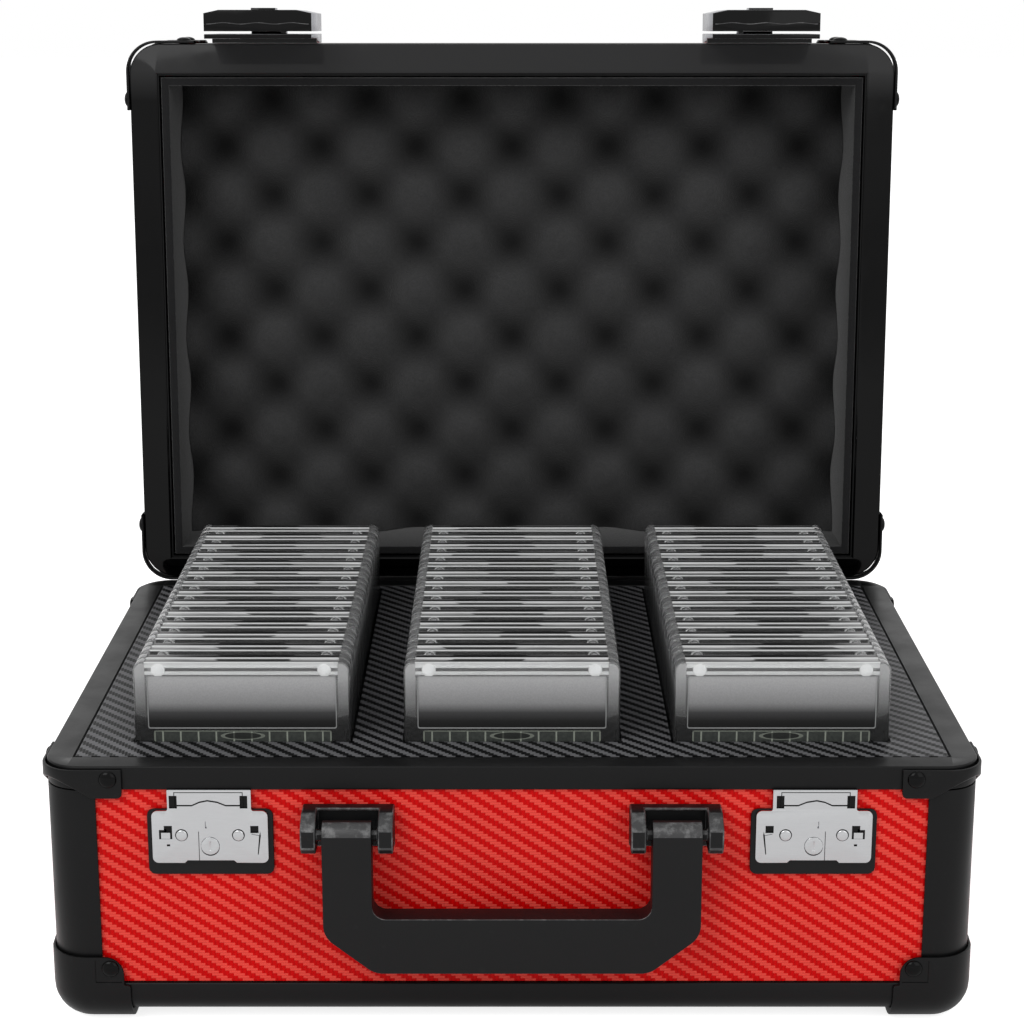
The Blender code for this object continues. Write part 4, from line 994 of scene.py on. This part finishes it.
slabSizes = {
    "count": 14,
    "pitch": 0.01462,
    "thick": 0.0118,
    "cornerRadius": 0.0035,
    "footRadius": 0.001,
    "seam": 0.0004,
    "edge": 0.0008,
    "pinIn": 0.0094,
    "pinDown": 0.0030,
    "pinRadius": 0.0026,
    "pinNear": 0.0002,
    "pinFar": 0.0114,
    "pinEdge": 0.0003,
    "labelHalf": 0.0353,
    "labelTop": 0.0052,
    "labelHeight": 0.0207,
    "window": 0.0006,
    "windowRadius": 0.0008,
    "sheet": 0.0004,
    "sheetLap": 0.0001,
    "sheetGap": 0.00002,
    "sheetRadius": 0.0007,
    "wall": 0.0019,
    "coreRadius": 0.002,
    "line": 0.00032,
    "lineRadius": 0.0006,
    "holderHalf": 0.0333,
    "holderTop": 0.0266,
    "holderHeight": 0.0046,
    "divider": 0.00665,
    "topInset": 0.0042,
    "topGap": 0.00005,
    "topDeep": 0.0007,
    "beyond": 0.001,
    "sideGap": 0.0007,
    "sideNear": (0.0005, 0.0009),
    "ridgeTop": 0.0004,
    "ridgeEdge": 0.00008,
    "ridges": [(0.0002, 0.0014), (0.0056, 0.0066)],
    "ribs": (0.0003, 0.0023),
    "ribNear": (0.0012, 0.0108),
    "ribEdge": 0.0003,
    "rails": [(0.0003, 0.0023), (0.0035, 0.0050)],
    "railNear": (0.0005, 0.0011),
    "nubRadius": 0.0019,
    "nubDown": 0.0021,
    "nubLap": 0.0002,
    "nubEdge": 0.0004,
}


def slabWindows(high):
    # (half width, half height, middle) of the label's and the holder's windows
    size = slabSizes
    windows = []
    for part in ("label", "holder"):
        tall = size[part + "Height"] / 2
        windows.append((size[part + "Half"], tall, high.z - size[part + "Top"] - tall))
    return windows


def slabShell(low, high, x):
    # two clear halves that meet at a seam, with windows for the label and the card holder
    size, half = slabSizes, (high.x - low.x) / 2
    front, split, rear = low.y, low.y + size["thick"] / 2, low.y + size["thick"]
    corners = [(-half, low.z, size["footRadius"]), (half, low.z, size["footRadius"]),
               (half, high.z, size["cornerRadius"]), (-half, high.z, size["cornerRadius"])]
    face = roundedOutline([(x + u, z, radius) for u, z, radius in corners], 8)
    shells = []
    for near, far, windowAt in ((front, split - size["seam"] / 2, (front - over, front + size["window"])),
                                (split + size["seam"] / 2, rear, (rear - size["window"], rear + over))):
        shell = soften(slab("shell", face, near, far), size["edge"], 3)
        left, right, beyond = x - half + size["topInset"], x + half - size["topInset"], size["beyond"]
        cut(shell, box("pocket", (left, front - beyond, high.z - size["topDeep"]),
                       (right, rear + beyond, high.z + beyond)))
        cut(shell, *[slab("window", rectangle(wide, tall, size["windowRadius"], x, middle, 4), *windowAt)
                     for wide, tall, middle in slabWindows(high)])
        shells.append(shell)
    return joined("shell", shells)


def windowFace(x, window):
    half, tall, middle = window
    gap = slabSizes["sheetGap"]
    return rectangle(half - gap, tall - gap, slabSizes["sheetRadius"], x, middle, 4)


def slabHolder(low, high, x):
    near, face = slabSizes["window"] - slabSizes["sheetLap"], windowFace(x, slabWindows(high)[1])
    return slab("holder", face, low.y + near, low.y + slabSizes["thick"] - near)


def slabCore(low, high, x):
    # the dark card and its tray inside the two halves
    size, half = slabSizes, (high.x - low.x) / 2 - slabSizes["wall"]
    near, top = size["window"] + size["sheet"], high.z - size["labelTop"]
    face = rectangle(half, (top - low.z) / 2 - size["wall"], size["coreRadius"], x, (top + low.z) / 2, 4)
    return slab("core", face, low.y + near, low.y + size["thick"] - near)


def slabLabels(low, high, x):
    # one label sheet behind each face
    face, sheet = windowFace(x, slabWindows(high)[0]), slabSizes["sheet"]
    near = low.y + slabSizes["window"] - slabSizes["sheetLap"]
    rear = low.y + slabSizes["thick"] - slabSizes["window"] + slabSizes["sheetLap"]
    return joined("labels", [slab("label", face, at, at + sheet) for at in (near, rear - sheet)])


def slabFrames(low, high, x):
    # fine light edging of the label on both faces
    size, (half, tall, middle) = slabSizes, slabWindows(high)[0]
    outer = rectangle(half, tall, size["windowRadius"], x, middle, 4)
    inner = rectangle(half - size["line"], tall - size["line"], size["lineRadius"], x, middle, 4)
    frames = []
    for near in (low.y + size["window"] - size["sheet"], low.y + size["thick"] - size["window"]):
        frame = slab("frame", outer, near, near + size["sheet"])
        frames.append(cut(frame, slab("inner", inner, near - size["beyond"], near + size["beyond"])))
    return joined("frames", frames)


def slabStuds(name, high, x, radius, down, near, far, edge, steps):
    # a pair of round studs near the two top corners
    reach = high.x - x - slabSizes["pinIn"]
    faces = [circle(radius, x + side * reach, high.z - down, steps) for side in (-1, 1)]
    return joined(name, [soften(slab(name, face, near, far), edge, 2) for face in faces])


def slabPins(low, high, x):
    # pale pins that hold the two halves together
    size = slabSizes
    near, far = low.y + size["pinNear"], low.y + size["pinFar"]
    return slabStuds("pins", high, x, size["pinRadius"], size["pinDown"], near, far, size["pinEdge"], 24)


def slabNubs(low, high, x):
    # stacking nubs that bridge to the slab behind
    size = slabSizes
    near, far = low.y + size["thick"] - size["nubLap"], low.y + size["pitch"] - size["nubLap"]
    return slabStuds("nubs", high, x, size["nubRadius"], size["nubDown"], near, far, size["nubEdge"], 20)


def slabBars(low, high, x, heights, depths, edge):
    # bars across the top, at each (upper, lower) drop and each (near, far) depth
    half = (high.x - low.x) / 2 - slabSizes["topInset"] - slabSizes["topGap"]
    bars = []
    for top, bottom in heights:
        face = rectangle(half, (bottom - top) / 2, edge, x, high.z - (top + bottom) / 2, 3)
        bars += [soften(slab("bar", face, low.y + near, low.y + far), edge, 1) for near, far in depths]
    return joined("bars", bars)


def slabRidges(low, high, x):
    return slabBars(low, high, x, [(0, slabSizes["ridgeTop"])], slabSizes["ridges"], slabSizes["ridgeEdge"])


def slabRibs(low, high, x):
    return slabBars(low, high, x, [slabSizes["ribs"]], [slabSizes["ribNear"]], slabSizes["ribEdge"])


def frontRails(low, high, x):
    # the two light bars that show through the front face of the first slab
    return slabBars(low, high, x, slabSizes["rails"], [slabSizes["railNear"]], slabSizes["ribEdge"])


def frontSides(low, high, x):
    # pale strips beside the label of the first slab, inside its clear face
    size, gap = slabSizes, slabSizes["sideGap"]
    top, bottom, radius = high.z - gap, high.z - size["holderTop"], size["cornerRadius"] - gap
    strips = []
    for side in (-1, 1):
        left, right = sorted((side * (size["labelHalf"] + gap), side * (high.x - x - gap)))
        face = roundedOutline([
            (x + left, bottom, 0), (x + right, bottom, 0), (x + right, top, radius * (side > 0)),
            (x + left, top, radius * (side < 0))], 8)
        near, far = size["sideNear"]
        strips.append(slab("strip", face, low.y + near, low.y + far))
    return joined("strips", strips)


slabLow, slabHigh = rowBoxes["middle"]
labelTopZ = slabHigh.z - slabSizes["labelTop"]
# (share of the label's height or drop from the slab's top, level, level of blue), upwards
labelStops = [(1.0, 0.012, 0.012), (0.86, 0.016, 0.016), (0.70, 0.045, 0.046), (0.52, 0.225, 0.228),
              (0.0, 0.400, 0.405)]
coreStops = [(0.0300, 0.006, 0.006), (0.0210, 0.008, 0.008), (0.0140, 0.070, 0.071), (0.0050, 0.330, 0.335)]
# the label and the card tray fade from painted light at the top to painted shade towards the foot
labelShadeFade = fadedLook("fadedLabel", [(labelTopZ - slabSizes["labelHeight"] * share, grey(*levels))
                                      for share, *levels in labelStops], 0.25)
coreFade = fadedLook("cardTray", [(slabHigh.z - drop, grey(*levels)) for drop, *levels in coreStops], 0.4)
# grey levels across one slab, from its front face to its rear face: painted light on the ribs and painted shade
# in the bands between them
ribStops = [
    (0.0, 0.008), (0.0030, 0.010), (0.0033, 0.20), (0.0054, 0.50), (0.0057, 0.02), (0.0070, 0.008),
    (0.0094, 0.010), (0.0098, 0.10), (0.0108, 0.20), (0.0118, 0.10),
]
ribSizes = {"cardHalf": 0.020, "cardShift": 0.024, "raggedness": 0.012, "blend": 0.0005, "darkening": 0.92}
holderSizes = {
    "line": 0.0006,
    "dividerShare": 0.045,
    "ovalHalf": 0.0068,
    "ovalTall": 0.0013,
    "rim": 1.5,
    "pale": (0.36, 0.39, 0.33),
    "hollow": (0.010, 0.011, 0.010),
    "plain": ((0.030, 0.034, 0.031), (0.050, 0.056, 0.050)),
}
rowStep = (rowBoxes["right"][0].x - rowBoxes["left"][0].x) / 2


def rowCentre(across):
    return (across / rowStep).calc("ROUND") * rowStep


def ribLook(name):
    # light ribs and dark hollows that repeat with the slabs, painted light and painted shade, darkest over each
    # card's middle
    size, pitch, thick = ribSizes, slabSizes["pitch"], slabSizes["thick"]
    look, tree, shader = newLook(name, grey(0.5), 0.3)
    place = objectPlace(tree)
    parts = parted(place)
    turn = (parts["Y"] - slabLow.y) / pitch
    centre = rowCentre(parts["X"])
    stops = [(at / thick, grey(level)) for at, level in ribStops]
    ramp = colourRamp(turn.calc("FRACT") * (pitch / thick), stops)
    slabKey = addNode(tree, "ShaderNodeCombineXYZ", {"X": turn.calc("FLOOR"), "Y": centre})
    chance = addNode(tree, "ShaderNodeTexWhiteNoise", {"Vector": slabKey}, noise_dimensions="2D")
    shift = (chance - 0.5) * size["cardShift"]
    smear = speckle(place, 90.0, 2.0, 0.6, (0.4, 3.0, 1.0))
    reach = (parts["X"] - centre + shift).calc("ABSOLUTE") + smear * size["raggedness"]
    card = remap(reach, size["cardHalf"] - size["blend"], size["cardHalf"] + size["blend"], 1.0, 0.0)
    level = ramp * 1.0
    level = level * (card * (level < 0.6) * -size["darkening"] + 1.0) * remap(smear, 0.3, 0.7, 0.45, 1.5)
    feed(shader["Base Color"], level)
    addBump(shader, smear, 0.00006, 0.4)
    return look


def holderLook(name, middle, tall):
    # pale outline and dividers of the card holder, with a darker oval hollow in its middle
    size = holderSizes
    look, tree, shader = newLook(name, (0.05, 0.055, 0.05), 0.35)
    place = objectPlace(tree)
    parts = parted(place)
    off = parts["X"] - rowCentre(parts["X"])
    cell = ((off / slabSizes["divider"]).calc("FRACT") - 0.5).calc("ABSOLUTE")
    pale = (cell < size["dividerShare"]).calc("MAXIMUM", parts["Z"] > middle + tall - size["line"])
    pale = pale.calc("MAXIMUM", off.calc("ABSOLUTE") > slabSizes["holderHalf"] - size["line"])
    height = (parts["Z"] - middle) / size["ovalTall"]
    around = (off / size["ovalHalf"]).calc("POWER", 2.0) + height.calc("POWER", 2.0)
    oval = around < 1.0
    rim = (around < size["rim"]) - oval
    fleck = speckle(place, 900.0)
    shade = blendColour(remap(fleck, 0.3, 0.7), *size["plain"])
    marks = ((pale * 0.7, size["pale"]), (rim * 0.4, size["pale"]), (oval * 0.8, size["hollow"]))
    for share, colour in marks:
        shade = blendColour(share, shade, colour)
    feed(shader["Base Color"], shade)
    addBump(shader, fleck, 0.00002, 0.3)
    return look


ribBands = ribLook("ribbedSlabTop")
holderPrint = holderLook("cardHolder", slabWindows(slabHigh)[1][2], slabWindows(slabHigh)[1][1])
count, slabStep = slabSizes["count"], Vector((0, slabSizes["pitch"], 0))
slabPieces = [
    ("SlabShells", slabShell, count, clearShell),
    ("SlabLabels", slabLabels, count, labelShadeFade),
    ("SlabCores", slabCore, count, coreFade),
    ("SlabHolders", slabHolder, count, holderPrint),
    ("SlabFrames", slabFrames, count, lineGrey),
    ("SlabPins", slabPins, count, pinWhite),
    ("SlabRidges", slabRidges, count, ridgeWhite),
    ("SlabRibs", slabRibs, count, ribBands),
    ("FrontRails", frontRails, 1, railWhite),
    ("FrontSides", frontSides, 1, labelShadeFade),
    ("SlabNubs", slabNubs, count - 1, clearShell),
]
for side, (low, high) in rowBoxes.items():
    body = "slab_row_" + side
    for name, make, many, look in slabPieces:
        piece = make(low, high, (low.x + high.x) / 2)
        piece.name = side + name
        runTree(piece, repeatTree, {"Count": many, "Step": slabStep, "Finish": look})
        dress(piece, look, body, "clear_plastic", *([body] if make is slabShell else []))
print("slabs made")


# Latches and hinge

latchSizes = {
    "x": 0.1104,
    "backingEdge": 0.0003,
    "haspEdge": 0.0004,
    "lockEdge": 0.00012,
    "slotDeep": 0.0012,
    "slotShares": (0.25, 0.425),
    "hingeEdge": 0.0002,
    "rivetX": 0.0104,
    "rivetDrop": 0.0262,
    "frontFacing": -0.8,
}
latchRivet = {"radius": 0.0021, "height": 0.0005}
seamSizes = {"width": 0.0003, "wave": 0.0006, "drop": 0.0003, "inset": 0.0012, "steps": 48,
             "proud": 0.0002, "deep": 0.0004}


def softCopy(name, node, width, look, body, slot, worn=None, steps=3):
    # a CAD piece with its edges rounded, in the same place
    obj = cadCopy(name, node)
    looks = [look, worn] if worn else [look]
    for finish in looks:
        obj.data.materials.append(finish)
    return dress(soften(obj, width, steps, bool(worn)), looks, body, slot, node)


def lockCylinder(side):
    # the key cylinder, with a floor close under its face in the key slot
    node = "lock_cylinder_" + side
    low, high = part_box(node)
    middle, edge = (low + high) / 2, latchSizes["lockEdge"]
    halfX, halfZ = [share * (high.x - low.x) for share in latchSizes["slotShares"]]
    floor = box("slotFloor", (middle.x - halfX, low.y + edge, middle.z - halfZ),
                (middle.x + halfX, low.y + latchSizes["slotDeep"], middle.z + halfZ))
    lock = join(soften(cadCopy(side + "LockCylinder", node), edge, 2), floor)
    dress(lock, chrome, node, "chrome", node)


def haspSeam(side):
    # the wavy line where the two leaves of a flap meet
    size, (low, high) = seamSizes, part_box("hasp_flap_" + side)
    left, reach = low.x + size["inset"], high.x - low.x - size["inset"] * 2
    level, half = (low.z + high.z) / 2 - size["drop"], size["width"] / 2
    shares = [k / size["steps"] for k in range(size["steps"] + 1)]
    line = [(left + reach * k, level + size["wave"] * math.sin(3 * math.pi * k) ** 2) for k in shares]
    outline = [(u, v - half) for u, v in line] + [(u, v + half) for u, v in line[::-1]]
    seam = slab(side + "HaspSeam", outline, low.y - size["proud"], low.y + size["deep"])
    dress(seam, wornBlack, "hasp_flap_" + side, "black_gloss")


receiverSizes = {
    "half": 0.02125,
    "neck": 0.01535,
    "notch": 0.0085,
    "notchStep": 0.0010,
    "drops": {"low": 0.0370, "shoulder": 0.0166, "top": 0.0084},
    "radius": 0.0022,
    "neckRadius": 0.0008,
    "topRadius": 0.0003,
    "edge": 0.00025,
    "lockGap": 0.00003,
    "lockDrop": 0.0302,
    "ring": 0.0005,
    "deep": 0.0009,
    "groove": 0.00028,
    "slotFloor": (0.0001, 0.0001),
    "grooveFloor": (0.00008, 0.00004),
    "mark": (0.00004, 0.00003),
    "lipShadowHalf": 0.00028,
    "tabProud": 0.0004,
    "innerTabNear": 0.0002,
    "innerTabFar": 0.0010,
}
# openings in the plate, as (from x, to x, lower drop, upper drop); all but the last get painted shade on their
# floors
receiverSlots = [
    (-0.0168, -0.0138, 0.0276, 0.0224), (-0.0186, -0.0160, 0.0276, 0.0240), (-0.0159, -0.0147, 0.0304, 0.0296),
    (0.0148, 0.0178, 0.0252, 0.0224), (-0.0146, -0.0117, 0.0156, 0.0107), (0.0112, 0.0140, 0.0156, 0.0107),
    (-0.0017, -0.0011, 0.0234, 0.0207),
]
innerTab = (-0.0179, -0.0146, 0.0280, 0.0252)
# fine grooves, as the openings
receiverGrooves = [
    (-0.0128, 0.0124, 0.0096, 0.0093), (-0.00425, -0.0040, 0.0362, 0.0246), (-0.0128, -0.0125, 0.0156, 0.0093),
    (0.0121, 0.0124, 0.0156, 0.0093),
]
# (across, drop) points of the painted shadow line along the arched lip, of the folded tab and of the painted
# shade on the tab's edge
lipShadowLine = [(-0.0118, 0.0145), (-0.0063, 0.0145), (-0.0035, 0.0132), (-0.0006, 0.0126), (0.0030, 0.0132),
           (0.0061, 0.0145), (0.0113, 0.0145)]
foldedTab = [(0.0152, 0.0256), (0.0180, 0.0262), (0.0173, 0.0335), (0.0152, 0.0318)]
tabEdgeShade = [(0.0180, 0.0262), (0.0184, 0.0246), (0.0186, 0.0262), (0.0176, 0.0337), (0.0173, 0.0335)]


def platePoints(x, points):
    # (across, drop) points of the plate in place, mirrored on the right-hand receiver
    placed = [(x - u if x > 0 else x + u, rimTop - drop) for u, drop in points]
    return placed[::-1] if x > 0 else placed


def plateBox(name, x, near, far, part):
    left, right, lowDrop, highDrop = part
    if x > 0:
        left, right = -right, -left
    return box(name, (x + left, near, rimTop - lowDrop), (x + right, far, rimTop - highDrop))


def receiverPlate(side, x, near, far):
    # the plated catch plate: openings, fine grooves and two tabs
    size, step, radius = receiverSizes, receiverSizes["notchStep"], receiverSizes["radius"]
    low, shoulder, top = (rimTop - drop for drop in size["drops"].values())
    half, neck, notch = size["half"], size["neck"], size["notch"]
    neckRadius, topRadius = size["neckRadius"], size["topRadius"]
    outline = roundedOutline([
        (-half, low, radius), (-notch - step, low, 0), (-notch, low + step, 0), (notch, low + step, 0),
        (notch + step, low, 0), (half, low, radius), (half, shoulder, radius), (neck, shoulder, neckRadius),
        (neck, top, topRadius), (-neck, top, topRadius), (-neck, shoulder, neckRadius),
        (-half, shoulder, radius)], 6)
    plate = slab(side + "LatchReceiver", [(x + u, v) for u, v in outline], near, far)
    soften(plate, size["edge"], 2)
    tools = [plateBox("opening", x, near - over, near + size["deep"], part) for part in receiverSlots]
    tools += [plateBox("groove", x, near - over, near + size["groove"], part) for part in receiverGrooves]
    cut(plate, *tools, slab("lockHole", lockCircle(side, x, size["lockGap"]), near - over, far + over))
    proud = size["tabProud"]
    join(plate, plateBox("innerTab", x, near + size["innerTabNear"], near + size["innerTabFar"], innerTab))
    join(plate, slab("tab", platePoints(x, foldedTab), near - proud, near + proud))
    dress(plate, chrome, "base", "chrome", "latch_receiver_" + side)


def lockCircle(side, x, grow=0.0, lower=0.0):
    low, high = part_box("lock_cylinder_" + side)
    return circle((high.x - low.x) / 2 + grow, x, rimTop - receiverSizes["lockDrop"] - lower, 40)


def receiverShadeMarks(side, x, near):
    # painted shade: dark sheets on the floors of the openings and grooves, a painted shadow line along the
    # arched lip and on the folded tab's edge, and the painted shadows of lock and rivets
    size, ring, half = receiverSizes, receiverSizes["ring"], receiverSizes["lipShadowHalf"]
    floors = ((size["deep"], size["slotFloor"], receiverSlots[:-1]),
              (size["groove"], size["grooveFloor"], receiverGrooves))
    floorShades = [plateBox("dark", x, near + depth - before, near + depth + behind, part)
             for depth, (before, behind), parts in floors for part in parts]
    lipShadowBand = [(u, drop - half) for u, drop in lipShadowLine] + [(u, drop + half) for u, drop in lipShadowLine[::-1]]
    outlines = [platePoints(x, lipShadowBand), platePoints(x, tabEdgeShade), lockCircle(side, x, lower=ring)]
    for sign in (-1, 1):
        centre = (x + sign * latchSizes["rivetX"], rimTop - latchSizes["rivetDrop"] + ring / 3)
        outlines.append(circle(latchRivet["radius"] + ring / 2, *centre, 32))
    before, behind = size["mark"]
    marks = [slab("dark", outline, near - before, near + behind) for outline in outlines]
    cut(marks[2], slab("lock", lockCircle(side, x, size["lockGap"]), near - over, near + over))
    dress(joined(side + "LatchShadeMarks", floorShades + marks), glossBlack, "base", "black_gloss")


for side in ("left", "right"):
    softCopy(side + "LatchBacking", "latch_backing_" + side, latchSizes["backingEdge"], grainBlack, "base",
             "black_plastic")
    lockCylinder(side)
    flap = "hasp_flap_" + side
    for name, node, body in (("HaspPlate", "hasp_plate_" + side, "lid"), ("HaspFlap", flap, flap)):
        hasp = softCopy(side + name, node, latchSizes["haspEdge"], chrome, body, "chrome")
        # the faces turned to the front are painted black: painted shade and a painted dark reflection on the
        # plated pieces
        hasp.data.materials.append(glossBlack)
        for face in hasp.data.polygons:
            face.material_index = int(face.normal.y < latchSizes["frontFacing"])
    haspSeam(side)

rivetPlaces = []
for side, sign in (("left", -1), ("right", 1)):
    x, (near, far) = sign * latchSizes["x"], [corner.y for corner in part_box("latch_receiver_" + side)]
    receiverPlate(side, x, near, far)
    receiverShadeMarks(side, x, near)
    rivetPlaces += [(Vector((x + dx * latchSizes["rivetX"], near, rimTop - latchSizes["rivetDrop"])),
                     Vector((0, -1, 0))) for dx in (-1, 1)]
rivetHeads("receiverRivets", rivetPlaces, latchRivet, chrome, "base", "chrome")
for part in ("Base", "Lid"):
    body = part.lower()
    softCopy(f"hinge{part}Leaf", f"hinge_{body}_leaf", latchSizes["hingeEdge"], satinBlack, body, "black_frame",
             steps=2)
print("latches and hinge made")


# Handle

handleSizes = {
    "armWidth": 0.0179,
    "innerRadius": 0.005,
    "cornerRise": 0.0145,
    "cornerRun": 0.0185,
    "cornerRadius": 0.009,
    "gripTop": 0.0529,
    "edge": 0.0013,
    "pinDrop": 0.0220,
    "boreRadius": 0.0026,
    "crown": 0.0045,
    "wornReach": 0.001,
    "earEdge": 0.0006,
    "backInset": Vector((0.0006, 0, 0.0008)),
    "backNear": 0.0013,
    "backFar": 0.0001,
    "backEdge": 0.0003,
}
handleLow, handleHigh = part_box("handle")
armInside = handleHigh.x - handleSizes["armWidth"]
gripTop = rimTop - handleSizes["gripTop"]


def handleBar(name):
    size, low, high = handleSizes, handleLow, handleHigh
    outer, inner, radius = high.x, armInside, size["cornerRadius"]
    knee, heel = low.z + size["cornerRise"], outer - size["cornerRun"]
    outline = roundedOutline([
        (-outer, high.z, 0), (-outer, knee, radius), (-heel, low.z, radius), (heel, low.z, radius),
        (outer, knee, radius), (outer, high.z, 0), (inner, high.z, 0), (inner, gripTop, size["innerRadius"]),
        (-inner, gripTop, size["innerRadius"]), (-inner, high.z, 0)], 8)
    bar = slab(name, outline, low.y, high.y)
    crown = (high.y - low.y) / 2 - tiny
    shoulder = roundedOutline([(low.y, low.z - over, 0), (high.y, low.z - over, 0), (high.y, high.z, crown),
                               (low.y, high.z, crown)], 12)
    keep(bar, slab("armTops", shoulder, -outer - over, outer + over, "X"))
    soften(flatten(bar, degrees=0.3), size["edge"], 4)
    bore = circle(size["boreRadius"], (low.y + high.y) / 2, rimTop - size["pinDrop"], 32)
    for start, end in ((-outer, -inner), (inner, outer)):
        cut(bar, slab("bore", bore, start - over, end + over, "X"))
    return bar


def wearFaces(obj, worn):
    for face in obj.data.polygons:
        if worn(face.center, face.normal):
            face.material_index = 1


def handWorn(place, way):
    # the rubbed crown of each arm and the inner bevel over the grip
    onCrown = place.z > handleHigh.z - handleSizes["crown"] and way.y < -0.1 and abs(way.x) < 0.3
    betweenArms = abs(place.x) < armInside + handleSizes["wornReach"]
    overGrip = betweenArms and place.z < gripTop + handleSizes["innerRadius"]
    return onCrown or (overGrip and way.y < -0.15 and way.z > 0.2)


bar = dress(handleBar("carryHandle"), [grainBlack, wornBlack], "handle", "black_plastic", "handle")
wearFaces(bar, handWorn)
for side in ("left", "right"):
    node = "handle_bracket_" + side
    ears = softCopy(side + "HandleBracket", node, handleSizes["earEdge"], grainBlack, "base", "black_plastic",
                    wornBlack)
    wearFaces(ears, lambda place, way: way.y < -0.2 and way.z > 0.2)
    low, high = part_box(node)[0] + handleSizes["backInset"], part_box(node)[1] - handleSizes["backInset"]
    back = box(side + "HandleBack", (low.x, frontY - handleSizes["backNear"], low.z),
               (high.x, frontY - handleSizes["backFar"], high.z))
    dress(soften(back, handleSizes["backEdge"], 2), grainBlack, "base", "black_plastic")
print("handle made")


# Floor, light and camera

studioSizes = {
    "floor": 12.0,
    "floorDrop": 0.0002,
    "floorGlow": 0.8,
    "floorInMirrors": 0.3,
    "cameraBack": 0.90960,
    "cameraHeight": 0.4013,
    "cameraPitch": 14.448,
    "sensor": 36,
    "lens": 2303 / 1024 * 36,
    "worldLevel": 0.62,
    "lampAim": (0, -0.05, 0.15),
}
# name, place, width and power of each lamp
lamps = [("keyLamp", (-0.9, -1.3, 1.5), 1.2, 15.0), ("fillLamp", (1.1, -1.3, 1.0), 1.4, 6.0)]


def seenDirectly(tree, mirrorShare=1.0):
    # 1 for rays from the camera and through glass, and a share of it in mirrors
    rays = tree.nodes.new("ShaderNodeLightPath").outputs
    camera, glass, mirror = (Wire(rays[f"Is {kind} Ray"]) for kind in ("Camera", "Transmission", "Glossy"))
    return camera.calc("MAXIMUM", glass).calc("MAXIMUM", mirror * mirrorShare)


def studioFloor():
    mesh = bpy.data.meshes.new("studioFloor")
    corners = rectangle(studioSizes["floor"] / 2, studioSizes["floor"] / 2)
    mesh.from_pydata([(u, v, 0) for u, v in corners], [], [(0, 1, 2, 3)])
    floor = linked("studioFloor", mesh)
    floor.location.z = -studioSizes["floorDrop"]
    look, tree, shader = newLook("paleFloor", grey(0.86), 0.9)
    feed(shader["Emission Color"], grey(1.0))
    seen = seenDirectly(tree, studioSizes["floorInMirrors"])
    feed(shader["Emission Strength"], seen * studioSizes["floorGlow"])
    mesh.materials.append(look)


def studioWorld():
    world = bpy.data.worlds.new("studioWorld")
    world.use_nodes = True
    bpy.context.scene.world = world
    background = world.node_tree.nodes["Background"].inputs
    feed(background["Color"], grey(1.0))
    level = studioSizes["worldLevel"]
    feed(background["Strength"], seenDirectly(world.node_tree) * (1.0 - level) + level)


def areaLamp(name, place, size, power):
    data = bpy.data.lights.new(name, "AREA")
    data.shape = "SQUARE"
    data.size = size
    data.energy = power
    lamp = linked(name, data)
    lamp.location = place
    lamp.rotation_euler = (Vector(studioSizes["lampAim"]) - Vector(place)).to_track_quat("-Z", "Y").to_euler()


def studioCamera():
    data = bpy.data.cameras.new("studioCamera")
    data.lens = studioSizes["lens"]
    data.sensor_width = studioSizes["sensor"]
    camera = linked("studioCamera", data)
    camera.location = (0, middleY - studioSizes["cameraBack"], studioSizes["cameraHeight"])
    camera.rotation_euler = (math.radians(90 - studioSizes["cameraPitch"]), 0, 0)
    bpy.context.scene.camera = camera


studioFloor()
studioWorld()
for lamp in lamps:
    areaLamp(*lamp)
studioCamera()
bpy.context.scene.view_settings.view_transform = "Standard"
print("studio set")
